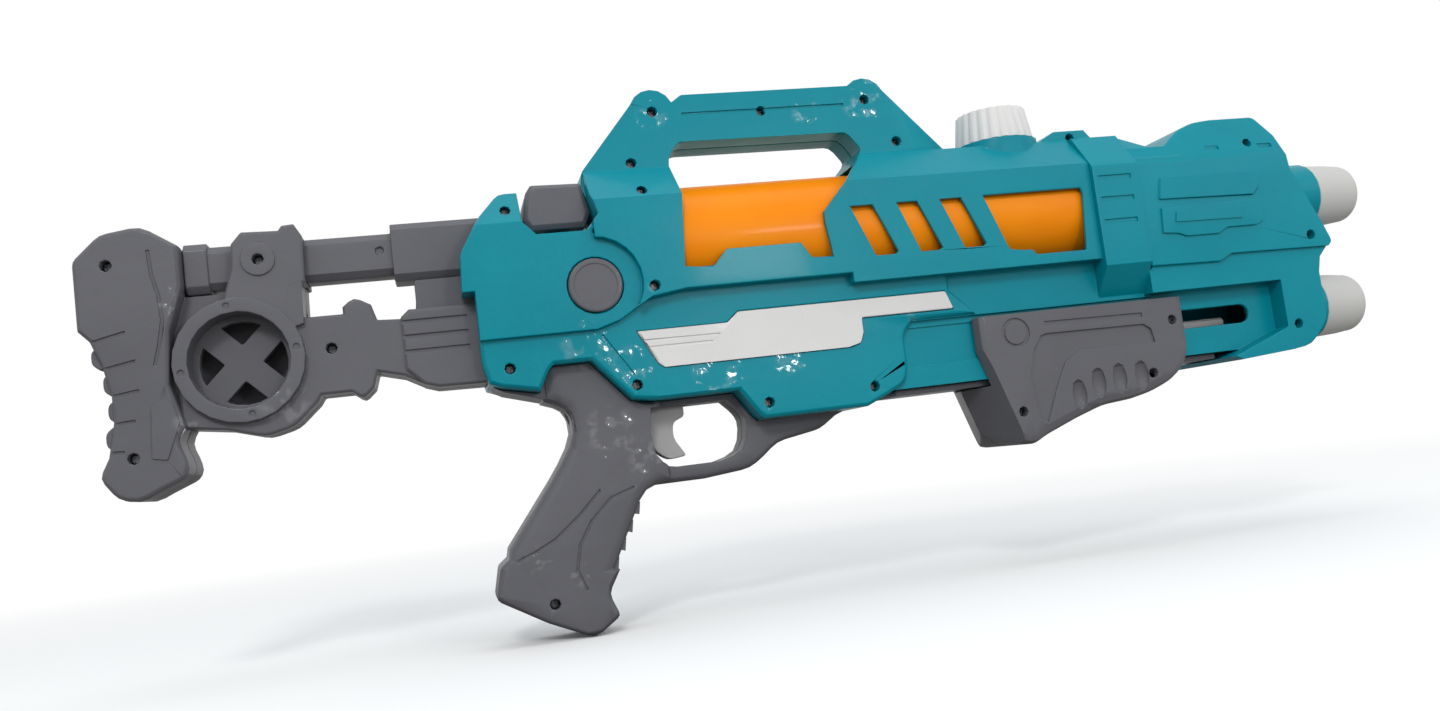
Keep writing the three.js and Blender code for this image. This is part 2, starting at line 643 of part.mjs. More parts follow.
// The two half shells with their hollow, windows, ribs and seats.
function makeShells() {
  const side = 60;
  const inner = (half) => half - wall;
  const panelDepth = lowerHalf - (panelThickness - panelProud);
  const lowerInner = panelDepth - 1.6;

  const band = prism([
    [-railTopHalf, 45], [-bandHalf, 59], [-bandHalf, 108], [-bandTopHalf, 126],
    [bandTopHalf, 126], [bandHalf, 108], [bandHalf, 59], [railTopHalf, 45],
  ], bandRear, bandFront);
  const frontZone = prism(zone(frontHalf, frontFacetZ, frontTopHalf, frontTopZ), bandFront - 1, muzzleX);
  const frontStep = [
    [bandFront - 5, 0], [bandFront - 5, 57], [320, 56], [327, 59.5], [muzzleX, 58], [muzzleX, 0],
  ];
  const front = cut(
    union(bothSides(frontOutline, side), bothSides(chinOutline, side)).intersect(frontZone),
    slab(frontStep, -side, -frontLowHalf),
    slab(frontStep, frontLowHalf, side),
  );
  const outer = union(
    cut(
      bothSides(upperOutline, side).intersect(zones(0)),
      rod('y', [discX, 0, discZ], bossRadius, -side, -receiverHalf, 24),
      rod('y', [discX, 0, discZ], bossRadius, receiverHalf, side, 24),
    ),
    rod('y', [earRearX, 0, earZ], earRadius, -handleHalf, handleHalf, 16),
    rod('y', [earFrontX, 0, earZ], earRadius, -handleHalf, handleHalf, 16),
    rod('z', [neckX, 0, 0], collarRadius, shoulderZ - 12, shoulderZ + collarHeight, 20),
    bothSides(lowerOutline, lowerHalf, 1.5, 1),
    box(150, bandFront + 4, -railTopHalf, railTopHalf, railTop - 1, lipZ + 4),
    box(120, 375, -railHalf, railHalf, railBottom, railTop),
    band,
    front,
    ...pads(upperPad, frontHalf, padRise),
    ...pads(lowerPad, frontHalf, padRise),
    ...pads(padBar, frontHalf, padRise + barRise),
    rod('x', [0, 0, nozzleUpperZ], nozzleRadius + 1, nozzleUpperX - nozzleSeatDepth, nozzleUpperX - gap, 20),
    rod('x', [0, 0, nozzleLowerZ], nozzleRadius + 1, nozzleLowerX - nozzleSeatDepth, nozzleLowerX - gap, 20),
  );

  const handleHollow = cut(
    bothSides(inset(upperOutline, wall), side),
    bothSides(inset(handleWindow, -wall), side),
  );
  const discSeat = receiverHalf + discProud - discThickness - gap;
  const tankRoom = union(
    box(36, lipStepX + 2 * wall, -side, side, lipZ + lipStep + wall, tankTop + 2),
    box(lipStepX + wall, bandFront + 4, -side, side, lipZ + wall, tankTop + 2),
  );
  const upperHollow = cut(
    union(handleHollow, tankRoom).intersect(zones(wall)),
    rod('y', [discX, 0, discZ], bossRadius + wall, -side, wall - discSeat, 24),
    rod('y', [discX, 0, discZ], bossRadius + wall, discSeat - wall, side, 24),
  );
  const frontRoom = prism(zone(frontLowHalf, frontFacetZ, frontTopHalf, frontTopZ, wall), bandFront, muzzleX);
  const hollow = union(
    upperHollow,
    bothSides(inset(lowerOutline, wall), lowerInner),
    box(148, bandFront + 20, -inner(railTopHalf), inner(railTopHalf), railTop - 3, lipZ + 8),
    box(125, 372, -inner(railHalf), inner(railHalf), railBottom + wall, railTop - 1),
    bothSides(inset(frontOutline, wall), side).intersect(frontRoom),
  );

  const cradle = (x, half, zLow, zHigh) => box(x, x + ribThickness, -half - 1, half + 1, zLow, zHigh);
  const tankRib = (x) => cradle(x, inner(housingHalf), 60, ridgeZ);
  const pinBoss = (from, to) => rod('y', [triggerX, 0, triggerZ], pinRadius + 2, from, to, 10);
  const ribs = union(
    ...[46, 200, 254].map(tankRib),
    cradle(112, lowerInner, 7, 38),
    cradle(cylinderFront - 8, inner(railHalf), railBottom + 1, 38),
    cradle(valveRear + 8, lowerInner, 36, 48),
    pinBoss(-lowerHalf + 1, -triggerHalf - run),
    pinBoss(triggerHalf + run, lowerHalf - 1),
    box(176, 180, -railTopHalf + 1, railTopHalf - 1, 57, 61),
  );

  const slotHalf = armRadius + run;
  const slotRear = armX - strokeBack;
  const pumpSlot = union(
    box(slotRear, slotFront, -side, side, slotZ - slotHalf, slotZ + slotHalf),
    rod('y', [slotRear, 0, slotZ], slotHalf, -side, side, 12),
    rod('y', [slotFront, 0, slotZ], slotHalf, -side, side, 12),
  );
  const windows = [bothSides(handleWindow, side), bothSides(frontWindow, side), pumpSlot];
  for (let i = 0; i < slotCount; i += 1) windows.push(bothSides(shifted(slotOutline, i * slotPitch), side));

  const panelPocket = inset(panelOutline, -gap);
  const seats = [
    turned('x', [0, 0, tankAxisZ], tankProfile(gap), 20),
    rod('z', [neckX, 0, 0], neckRadius + run, tankTop - 8, neckTop, 20),
    rod('x', [0, 0, pumpZ], cylinderRadius + gap, cylinderRear - 20, cylinderFront + 10),
    rod('x', [0, 0, valveZ], valveRadius + gap, valveRear - 1, valveFront + 1),
    rod('y', [triggerX, 0, triggerZ], pinRadius + gap / 2, -pinHalf - gap, pinHalf + gap, 10),
    box(25, 49.5, -triggerHalf - run, triggerHalf + run, 10, 30),
    rod('y', [discX, 0, discZ], discRadius + run, -side, -discSeat, 24),
    rod('y', [discX, 0, discZ], discRadius + run, discSeat, side, 24),
    slab(panelPocket, -side, -panelDepth + gap),
    slab(panelPocket, panelDepth - gap, side),
    rod('x', [0, 0, nozzleUpperZ], spigotRadius + gap, splitterX + splitterRadius, muzzleX),
    rod('x', [0, 0, nozzleLowerZ], spigotRadius + gap, splitterX + splitterRadius, muzzleX),
    box(-60, stockFront + gap, -ribBlockHalf - gap, ribBlockHalf + gap, 36.2, 72.3),
    box(-60, stockFront + gap, -sleeveHalf - gap, sleeveHalf + gap, 72, sleeveTop + gap),
    box(-8 - gap, 3 + gap, -10 - gap, 10 + gap, 38, 52 + gap),
    box(-6 - gap, 4 + gap, -6 - gap, 6 + gap, 93, 99),
  ];
  const lines = [
    ...bandGrooveHeights.flatMap((z) => recesses(ribbon([[258.5, z], [276.5, z]], 2.2), bandHalf)),
    ...frontDashes.flatMap((dash) => recesses(ribbon(dash, 2.2), frontHalf - 3.4)),
    ...recesses(ribbon(handleGroove, 1.4), handleHalf),
    ...recesses(ribbon(receiverCrease, 1.2), lowerHalf),
    ...recesses(railPanel, railHalf),
  ];
  const shell = cut(
    union(cut(outer, hollow), union(ribs, ...screwBosses(shellScrews)).intersect(outer)),
    ...windows,
    ...seats,
    ...lines,
  );
  return halves(shell, shellScrews);
}

function makeGrip() {
  const teeth = Array.from({ length: 5 }, (_, k) => {
    const along = 0.12 + k * 0.19;
    const x = THREE.MathUtils.lerp(21.8, 0.4, along);
    const z = THREE.MathUtils.lerp(-21, -61, along);
    return [[x + 1.5, z + 2], [x + 0.5, z - 3.6], [x - 2.5, z - 2.4], [x - 1, z + 2]];
  });
  const shellFace = bothSides(inset(lowerOutline, -gap), 40);
  const handle = union(
    bothSides(gripOutline, gripHalf, gripRound, 2),
    bothSides(heelOutline, gripHalf, 2, 1),
    bothSides(guardOutline, guardHalf, guardRound, 1),
    bothSides(tangOutline, gripHalf - 2),
    ...teeth.map((tooth) => bothSides(tooth, gripHalf - 4)),
  );
  const body = union(cut(handle, shellFace), box(-8, 3, -10, 10, 34, 52));
  const hollow = inset([
    [-9, 20], [-6, 10], [-13, -4], [-36, -38], [-43, -57], [-8, -76], [0, -64], [22, -20], [24, 12], [10, 30],
  ], wall);
  const springSeat = box(8, 10, -gripHalf + 1, gripHalf - 1, 8, 20);
  return halves(cut(
    union(cut(body, bothSides(hollow, gripHalf - wall)), springSeat, ...screwBosses(gripScrews)),
    bothSides(guardHole, gripHalf + 1),
    box(18, 34, -triggerHalf - run, triggerHalf + run, -10, 21),
    box(10 - gap, 28, -4.5, 4.5, 10, 18),
    box(26, 49.5, -triggerHalf - run, triggerHalf + run, 12, 21),
    ...gripLines.flatMap((line) => recesses(ribbon(line, 1.2), gripHalf)),
  ), gripScrews);
}

function makeStock() {
  const ribCount = 4;
  const ribPitch = 11.3;
  const spineX = (z) => buttX + 11 - 0.0105 * (z - 42) ** 2;
  const spine = Array.from({ length: ribCount }, (_, k) => {
    const z = 63.3 - k * ribPitch;
    const x = spineX(z);
    return [[x - 2, z + 2.6, 1.5], [x - 2, z - 2.6, 1.5], [x + 1, z - 5], [x + 8, z], [x + 1, z + 5]];
  });
  const ribLines = Array.from({ length: ribCount + 1 }, (_, k) => {
    const z = 69 - k * ribPitch;
    const length = 15 - 2 * k;
    return [[spineX(z) - 1, z], [spineX(z) + length, z + 0.25 * length - 0.5 * k]];
  });
  const butt = union(
    bothSides(buttOutline, buttHalf, 1.5, 1),
    ...spine.map((rib) => bothSides(rib, buttHalf - 2)),
  );
  const ring = rod('y', [wheelX, 0, wheelZ], wheelRadius, -wheelHalf, wheelHalf, 24);
  const grooves = [66.5, 60, 53.5].flatMap((z) => [-1, 1].map((sign) => {
    const y = sign * ribBlockHalf;
    return box(-80, -46, y - 1, y + 1, z - 0.8, z + 0.8);
  }));
  const web = box(-67, stockFront, -sleeveHalf + 1, sleeveHalf - 1, 71, sleeveBottom - gap);
  const body = union(
    butt,
    ring,
    bothSides(bracketOutline, bracketHalf, 1, 1),
    rod('y', [bracketX, 0, bracketZ], 7, -bracketHalf - 1, bracketHalf + 1, 16),
    bothSides(stockArmOutline, armHalf, 1, 1),
    cut(bothSides(ribBlockOutline, ribBlockHalf, 1, 1), ...grooves),
    web,
    bothSides(buttWeb, webHalf),
    ...pads(buttPad, buttHalf, barRise),
  );
  const buttHollow = inset(shifted([
    [4, 100], [12, 111], [26, 113], [36, 104], [29, 72], [28, 50], [36, 30], [35, 14],
    [20, 6], [9, 12], [16, 40], [10, 70],
  ], buttX), wall);
  const wayHalf = tubeHalf + gap;
  const tubeWay = box(tubeRear - gap, stockFront, -wayHalf, wayHalf, tubeBottom - gap, tubeTop + gap);
  const hub = [
    rod('y', [wheelX, 0, wheelZ], wheelHole, -wheelHalf - 1, wheelHalf - wheelBackWall, 24),
    rod('y', [wheelX, 0, wheelZ], wheelHole + 2 + gap, -wheelPlateHalf - gap, wheelPlateHalf + gap, 24),
  ];
  const wheelDimples = [0, 1, 2, 3].flatMap((quarter) => {
    const angle = (quarter * Math.PI) / 2 + 0.14;
    const x = wheelX + dimpleCircle * Math.cos(angle);
    const z = wheelZ + dimpleCircle * Math.sin(angle);
    const depth = wheelHalf - grooveDepth;
    return [
      rod('y', [x, 0, z], dimpleRadius, -wheelHalf - 1, -depth, 8),
      rod('y', [x, 0, z], dimpleRadius, depth, wheelHalf + 1, 8),
    ];
  });
  return halves(cut(
    union(cut(body, bothSides(buttHollow, buttHalf - wall)), ...screwBosses(stockScrews)),
    tubeWay,
    box(-70, stockFront - wall, -ribBlockHalf + wall + 0.5, ribBlockHalf - wall - 0.5, 42, 68),
    box(-112, -90, -armHalf + wall, armHalf - wall, 44, 53),
    box(sleeveRear - gap, -30, -sleeveHalf - gap, sleeveHalf + gap, sleeveBottom - gap, sleeveTop + 2),
    ...hub,
    ...[buttLine, ...ribLines].flatMap((line) => recesses(ribbon(line, 1.4), buttHalf)),
    ...wheelDimples,
  ), stockScrews);
}

function makeStockTube() {
  const chamfer = 3;
  const bar = (half, low, high) => [
    [-half, low + chamfer], [-half, high - chamfer], [-half + chamfer, high], [half - chamfer, high],
    [half, high - chamfer], [half, low + chamfer], [half - chamfer, low], [-half + chamfer, low],
  ];
  return cut(
    union(
      prism(bar(tubeHalf, tubeBottom, tubeTop), tubeRear, sleeveRear + 1),
      prism(bar(tubeHalf + 1.2, tubeBottom - 1.2, tubeTop + 1.6), buttX + 41 + gap, buttX + 51),
      prism(bar(sleeveHalf, sleeveBottom, sleeveTop), sleeveRear, stockFront),
    ),
    prism(bar(tubeHalf - wall, tubeBottom + wall, tubeTop - wall), tubeRear - 1, stockFront - wall),
    rod('y', [bracketX, 0, bracketZ], shankRadius + gap, -20, 20, 8),
    rod('y', [-80.3, 0, 99.9], 2, -20, 20, 8),
  );
}

// The disc in the wheel: a rim joined by two crossed spokes.
function makeWheel() {
  const plate = rod('y', [wheelX, 0, wheelZ], wheelHole + 2, -wheelPlateHalf, wheelPlateHalf, 24);
  const open = rod('y', [wheelX, 0, wheelZ], wheelHole - 2.5, -9, 9, 24);
  const spoke = (angle) => {
    const geometry = new THREE.BoxGeometry(2 * wheelHole, 2 * wheelPlateHalf, spokeWidth);
    geometry.rotateY(angle);
    geometry.translate(wheelX, 0, wheelZ);
    return solid(geometry);
  };
  return union(cut(plate, open), spoke(Math.PI / 4), spoke(-Math.PI / 4));
}

function makeForegrip() {
  const body = cornered(slab(foregripOutline, -foregripHalf, foregripHalf, foregripRound, 2, 3), keelFacet);
  const channel = railHalf + run;
  const floor = railBottom - stripThickness - gap - run;
  const room = bothSides(inset(foregripOutline, foregripRound + wall / 2), foregripHalf - foregripWall);
  const fingers = fingerPlaces.flatMap(([x, z]) => [-1, 1].map((sign) => {
    const y = sign * (foregripHalf + fingerRadius - fingerDepth);
    return rod('z', [x, y, z], fingerRadius, -6, 6, 12);
  }));
  const [ringX, ringZ, ringRadius, ringBore] = foregripRing;
  const ring = (from, to) => pipe('y', [ringX, 0, ringZ], ringRadius, ringBore, from, to, 18);
  const rings = [
    ring(-foregripHalf - 1, grooveDepth - foregripHalf),
    ring(foregripHalf - grooveDepth, foregripHalf + 1),
  ];
  return halves(cut(
    union(
      cut(
        body,
        box(150, 350, -channel, channel, floor, 80),
        box(150, 350, -60, 60, foregripTop, 80),
        cornered(room, keelFacet, foregripWall),
      ),
      ...screwBosses(foregripScrews.slice(1)),
      rod('y', [armX, 0, slotZ], armRadius + 1, -foregripHalf, -channel, 12),
      rod('y', [armX, 0, slotZ], armRadius + 1, channel, foregripHalf, 12),
    ),
    ...fingers,
    ...rings,
    ...recesses(foregripBar, foregripHalf),
    ...recesses(foregripArch, foregripHalf, 1.2),
  ), foregripScrews);
}

// The carriage slides in the rail and reaches the foregrip through the slots.
function makeCarriage() {
  const half = railHalf - wall - run;
  const low = railBottom + wall + run;
  const high = railTop - 1 - run;
  const rear = armX - 22;
  const front = armX + 8;
  const reach = railHalf + run - gap;
  const tray = cut(
    box(rear, front, -half, half, low, high),
    box(rear + wall, front - wall, -half + wall, half - wall, low + wall, high + 1),
  );
  const arm = (from, to) => rod('y', [armX, 0, slotZ], armRadius, from, to, 14);
  return cut(
    union(tray, arm(-reach, -half + 1), arm(half - 1, reach)),
    rod('x', [0, 0, pumpZ], rodRadius + gap / 2, rear - 1, front + 1, 12),
    rod('y', [armX, 0, slotZ], shankRadius + gap / 2, -reach - 1, -half + wall + 1, 6),
  );
}

const pistonRear = cylinderRear + cylinderEnd + 1 + strokeBack;
const cylinderFront = pistonRear + pistonLength + strokeForward + 2;

function makeCylinder() {
  const barrel = rod('x', [0, 0, pumpZ], cylinderRadius, cylinderRear, cylinderFront, 20);
  const bore = rod('x', [0, 0, pumpZ], cylinderBore, cylinderRear + cylinderEnd, cylinderFront + 1, 20);
  const top = pumpZ + cylinderRadius;
  const inlet = rod('z', [outletX, 0, 0], portRadius, top - 2, top + portHeight, 10);
  const outlet = rod('x', [0, 0, pumpZ], portRadius, cylinderRear - portHeight, cylinderRear + 1, 10);
  return cut(
    union(barrel, inlet, outlet),
    bore,
    rod('z', [outletX, 0, 0], portBore, pumpZ, top + portHeight + 1, 8),
    rod('x', [0, 0, pumpZ], portBore, cylinderRear - portHeight - 1, cylinderRear + 5, 8),
  );
}

function makeCylinderCap() {
  const x = cylinderFront + gap;
  return pipe('x', [0, 0, pumpZ], cylinderRadius, rodRadius + gap, x, x + 5, 20);
}

function makePistonParts() {
  const x = pistonRear;
  const axis = [0, 0, pumpZ];
  const land = cylinderBore - gap;
  const groove = cylinderBore - wall;
  const from = x + 2;
  const to = x + pistonLength - 2;
  const piston = turned('x', axis, [
    [0, x], [land, x], [land, from], [groove, from], [groove, to], [land, to], [land, x + pistonLength],
    [0, x + pistonLength],
  ], 20);
  const play = gap / 2;
  const ring = pipe('x', axis, cylinderBore - play, groove + play, from + play, to - play, 20);
  const shaft = rod('x', axis, rodRadius, x + pistonLength + gap, rodFront, 12);
  return [piston, ring, shaft];
}

function makeNozzle(x, z) {
  const shape = turned('x', [x, 0, z], [
    [0, spigotRear - x], [spigotRadius, spigotRear - x], [spigotRadius, 0], [nozzleRadius, 0],
    [nozzleRadius - 0.8, nozzleLength * 0.55], [nozzleTipRadius + 1.2, nozzleLength - 4],
    [nozzleTipRadius - 1.5, nozzleLength - 1], [nozzleTipRadius - 5, nozzleLength], [0, nozzleLength],
  ], 20);
  return cut(
    shape,
    rod('x', [x, 0, z], jetRadius, spigotRear - x + 3, nozzleLength + 1, 10),
    rod('x', [x, splitterY, z], splitterBore, spigotRear - x - 1, spigotRear - x + 5, 8),
    rod('x', [x, 0, z], spigotRadius - wall, spigotRear - x + wall, nozzleLength - 6, 16),
  );
}

function makeSplitter() {
  const end = spigotRear - gap;
  const stub = (z) => rod('x', [0, splitterY, z], 2.4, splitterX - 1, end, 8);
  const column = rod('z', [splitterX, splitterY, 0], splitterRadius, nozzleLowerZ - 3, nozzleUpperZ + 3, 10);
  const inlet = rod('x', [0, splitterY, splitterInletZ], portRadius, splitterX - 16, splitterX, 10);
  return cut(
    union(column, stub(nozzleLowerZ), stub(nozzleUpperZ), inlet),
    rod('x', [0, splitterY, splitterInletZ], splitterBore, splitterX - 17, splitterX, 8),
    rod('z', [splitterX, splitterY, 0], splitterBore, nozzleLowerZ, nozzleUpperZ, 8),
    rod('x', [0, splitterY, nozzleLowerZ], splitterBore, splitterX, end + 1, 8),
    rod('x', [0, splitterY, nozzleUpperZ], splitterBore, splitterX, end + 1, 8),
  );
}

function makeTrigger() {
  return cut(
    union(
      bothSides(triggerOutline, triggerHalf, 0.4, 1),
      rod('y', [triggerX, 0, triggerZ], barrelRadius, -triggerHalf, triggerHalf, 14),
    ),
    rod('y', [triggerX, 0, triggerZ], pinRadius + gap / 2, -9, 9, 12),
  );
}

function makeValve() {
  const axis = [0, 0, valveZ];
  const body = union(
    rod('x', axis, valveRadius, valveRear, valveFront, 18),
    rod('z', [valveSeat, 0, 0], portRadius + 1, pumpZ - portRadius - 1, valveZ, 12),
  );
  return cut(
    body,
    rod('x', axis, plungerRadius + run / 2, valveRear - 1, valveSeat, 12),
    rod('x', axis, portBore, valveRear, valveFront + 1, 8),
    rod('z', [valveSeat, 0, 0], portBore, pumpZ, valveZ, 8),
    rod('x', [0, 0, pumpZ], portBore, valveSeat, valveSeat + 8, 8),
  );
}

function makePlunger() {
  const tip = 1.2;
  const flange = plungerRear + 3;
  return turned('x', [0, 0, valveZ], [
    [0, plungerRear], [tip, plungerRear], [plungerRadius, plungerRear + 1], [plungerRadius, flange],
    [flangeRadius, flange], [flangeRadius, flange + 1.4], [plungerRadius, flange + 1.4],
    [plungerRadius, valveSeat - 5], [0, valveSeat - 5],
  ], 12);
}

const root = new THREE.Group();

function add(group, name, body, material) {
  const mesh = body.asOriginal().simplify(flatness).getMesh();
  const geometry = new THREE.BufferGeometry();
  geometry.setAttribute('position', new THREE.BufferAttribute(Float32Array.from(mesh.vertProperties), 3));
  geometry.setIndex(Array.from(mesh.triVerts));
  geometry.computeVertexNormals();
  const node = new THREE.Mesh(geometry, material);
  node.name = name;
  group.add(node);
}

function assembly() {
  const group = new THREE.Group();
  root.add(group);
  return group;
}

function addScrews(group, prefix, screws) {
  screws.forEach((place, index) => add(group, `${prefix}_screw_${index + 1}`, screw(place), steel));
}

// Housing
const housing = assembly();
const [shellRight, shellLeft] = makeShells();
add(housing, 'shell_right', shellRight, teal);
add(housing, 'shell_left', shellLeft, teal);
const discProfile = [
  [0, 0], [discRadius, 0], [discRadius, discThickness - 1], [discRadius - 1, discThickness],
  [0, discThickness],
];
const discBase = receiverHalf + discProud - discThickness;
add(housing, 'pivot_disc_left', turned('y', [discX, discBase, discZ], discProfile, 24), grey);
const mirroredDisc = discProfile.map(([r, h]) => [r, -h]);
add(housing, 'pivot_disc_right', turned('y', [discX, -discBase, discZ], mirroredDisc, 24), grey);
const panelInner = lowerHalf - (panelThickness - panelProud);
const panelOuter = lowerHalf + panelProud;
const panelLines = panelGrooves.flatMap((line) => recesses(ribbon(line, 1), panelOuter, 0.5));
add(housing, 'side_panel_right', cut(slab(panelOutline, -panelOuter, -panelInner), ...panelLines), white);
add(housing, 'side_panel_left', cut(slab(panelOutline, panelInner, panelOuter), ...panelLines), white);
const rearBlockFoot = box(-6, 4, -6, 6, 93.5, 103);
add(housing, 'rear_block', union(bothSides(rearBlockOutline, 19, 2, 1), rearBlockFoot), grey);
const stripTop = railBottom - gap;
add(housing, 'rail_strip', box(147, 320, -stripHalf, stripHalf, stripTop - stripThickness, stripTop), grey);
addScrews(housing, 'shell', shellScrews);

// Pistol grip
const pistolGrip = assembly();
const [gripRight, gripLeft] = makeGrip();
add(pistolGrip, 'grip_right', gripRight, grey);
add(pistolGrip, 'grip_left', gripLeft, grey);
addScrews(pistolGrip, 'grip', gripScrews);

// Shoulder stock
const stock = assembly();
const [stockRight, stockLeft] = makeStock();
add(stock, 'stock_right', stockRight, grey);
add(stock, 'stock_left', stockLeft, grey);
add(stock, 'stock_tube', makeStockTube(), grey);
add(stock, 'stock_wheel', makeWheel(), grey);
addScrews(stock, 'stock', stockScrews);

// Water path
const water = assembly();
add(water, 'tank', makeTank(), orange);
add(water, 'tank_cap', makeCap(), white);
add(water, 'cap_seal', makeSeal(), rubber);
add(water, 'pump_cylinder', makeCylinder(), pale);
add(water, 'cylinder_cap', makeCylinderCap(), pale);
const feedTop = outletLow - gap;
const feedLow = pumpZ + cylinderRadius + portHeight + gap;
add(water, 'feed_hose', pipe('z', [outletX, 0, 0], hoseRadius, hoseBore, feedLow, feedTop, 10), hosePlastic);
add(water, 'valve_body', makeValve(), pale);
add(water, 'valve_plunger', makePlunger(), pale);
add(water, 'valve_spring', coil(plungerRear + 4.4 + gap, valveRear - gap, valveZ, 3.2, 3), steel);
const hoseRoute = [
  [valveFront + gap + 0.2, 0, valveZ], [valveFront + 5, 0, valveZ], [92, 8, 49], [106, 11, 52], [190, 11, 52],
  [280, 11, 52], [330, 9, 56], [splitterX - 22, splitterY, splitterInletZ],
  [splitterX - 16 - gap, splitterY, splitterInletZ],
];
add(water, 'delivery_hose', sweep(hoseRoute, hoseRadius - 0.8, portBore, 20, 8), hosePlastic);
add(water, 'manifold', makeSplitter(), pale);
add(water, 'nozzle_upper', makeNozzle(nozzleUpperX, nozzleUpperZ), pale);
add(water, 'nozzle_lower', makeNozzle(nozzleLowerX, nozzleLowerZ), pale);

// Trigger
const triggerGroup = assembly();
add(triggerGroup, 'trigger', makeTrigger(), white);
add(triggerGroup, 'trigger_pin', rod('y', [triggerX, 0, triggerZ], pinRadius, -pinHalf, pinHalf, 10), steel);
add(triggerGroup, 'trigger_spring', coil(10 + gap, 27.5 - gap, 14, 3, 4), steel);

// Pump handle
const pump = assembly();
const [foregripRight, foregripLeft] = makeForegrip();
add(pump, 'foregrip_right', foregripRight, grey);
add(pump, 'foregrip_left', foregripLeft, grey);
add(pump, 'pump_carriage', makeCarriage(), grey);
const [piston, pistonRing, pumpRod] = makePistonParts();
add(pump, 'piston', piston, white);
add(pump, 'piston_ring', pistonRing, rubber);
add(pump, 'pump_rod', pumpRod, white);
addScrews(pump, 'foregrip', foregripScrews);

export default root;
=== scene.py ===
import json
import math

import bpy
from mathutils import Matrix, Vector


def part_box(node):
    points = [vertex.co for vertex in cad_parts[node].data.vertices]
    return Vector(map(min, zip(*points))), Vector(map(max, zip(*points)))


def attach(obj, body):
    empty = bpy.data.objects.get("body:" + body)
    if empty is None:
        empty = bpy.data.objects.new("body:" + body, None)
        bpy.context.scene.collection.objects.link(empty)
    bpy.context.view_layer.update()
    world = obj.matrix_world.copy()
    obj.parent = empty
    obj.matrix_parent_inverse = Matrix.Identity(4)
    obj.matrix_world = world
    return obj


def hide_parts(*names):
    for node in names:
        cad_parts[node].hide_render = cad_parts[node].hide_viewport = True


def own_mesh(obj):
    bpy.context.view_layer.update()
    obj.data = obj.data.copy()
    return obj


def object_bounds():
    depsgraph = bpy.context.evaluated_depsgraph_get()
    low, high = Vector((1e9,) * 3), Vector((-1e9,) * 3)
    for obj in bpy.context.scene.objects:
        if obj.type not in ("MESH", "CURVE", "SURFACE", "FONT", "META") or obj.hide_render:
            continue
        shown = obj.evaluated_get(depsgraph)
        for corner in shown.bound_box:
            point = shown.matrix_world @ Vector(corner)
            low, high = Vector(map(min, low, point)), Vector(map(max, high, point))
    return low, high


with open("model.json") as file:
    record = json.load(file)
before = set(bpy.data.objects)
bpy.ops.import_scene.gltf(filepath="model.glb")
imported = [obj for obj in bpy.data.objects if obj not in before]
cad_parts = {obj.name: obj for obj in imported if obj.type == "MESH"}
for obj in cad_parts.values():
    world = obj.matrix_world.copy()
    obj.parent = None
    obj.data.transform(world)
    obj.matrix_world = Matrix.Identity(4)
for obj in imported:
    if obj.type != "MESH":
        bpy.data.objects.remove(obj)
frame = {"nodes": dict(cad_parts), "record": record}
cadBox = [list(corner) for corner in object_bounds()]
mm = 0.001
scene = bpy.context.scene
print("frame loaded:", len(frame["nodes"]), "nodes")

shot = {  # camera of the photograph, in the toy's own frame
    "place": (-0.0624, -0.5475, -0.0093),
    "right": (0.96725, -0.22019, -0.12625),
    "down": (-0.10368, 0.11126, -0.98837),
    "ahead": (0.23168, 0.96909, 0.08478),
    "lens": 30.0,
    "sensor": 36.0,
    "nearest": 0.01,
    "farthest": 50.0,
}


def setCamera():
    data = bpy.data.cameras.new("shotCamera")
    data.lens = shot["lens"]
    data.sensor_width = shot["sensor"]
    data.sensor_fit = "HORIZONTAL"
    data.clip_start = shot["nearest"]
    data.clip_end = shot["farthest"]
    camera = bpy.data.objects.new("shotCamera", data)
    scene.collection.objects.link(camera)
    right = Vector(shot["right"]).normalized()
    back = -Vector(shot["ahead"]).normalized()
    up = back.cross(right).normalized()
    right = up.cross(back)
    turn = Matrix((right, up, back)).transposed().to_4x4()
    camera.matrix_world = Matrix.Translation(Vector(shot["place"])) @ turn
    scene.camera = camera


setCamera()
print("camera set")


def fromScreen(red, green, blue):  # 0-255 screen values to the linear colour that shaders use
    def linear(value):
        share = value / 255
        return share / 12.92 if share <= 0.04045 else ((share + 0.055) / 1.055) ** 2.4
    return (linear(red), linear(green), linear(blue), 1.0)


class Wire:  # one socket, so that shader maths reads as plain expressions
    def __init__(self, finish, socket):
        self.finish = finish
        self.socket = socket

    def maths(self, operation, other, swapped=False):
        pair = (other, self) if swapped else (self, other)
        return self.finish.node("ShaderNodeMath", {"operation": operation}, {0: pair[0], 1: pair[1]})

    def __add__(self, other):
        return self.maths("ADD", other)

    def __sub__(self, other):
        return self.maths("SUBTRACT", other)

    def __rsub__(self, other):
        return self.maths("SUBTRACT", other, True)

    def __mul__(self, other):
        return self.maths("MULTIPLY", other)

    def clamped(self):
        return self.finish.node("ShaderNodeClamp", {}, {"Value": self})


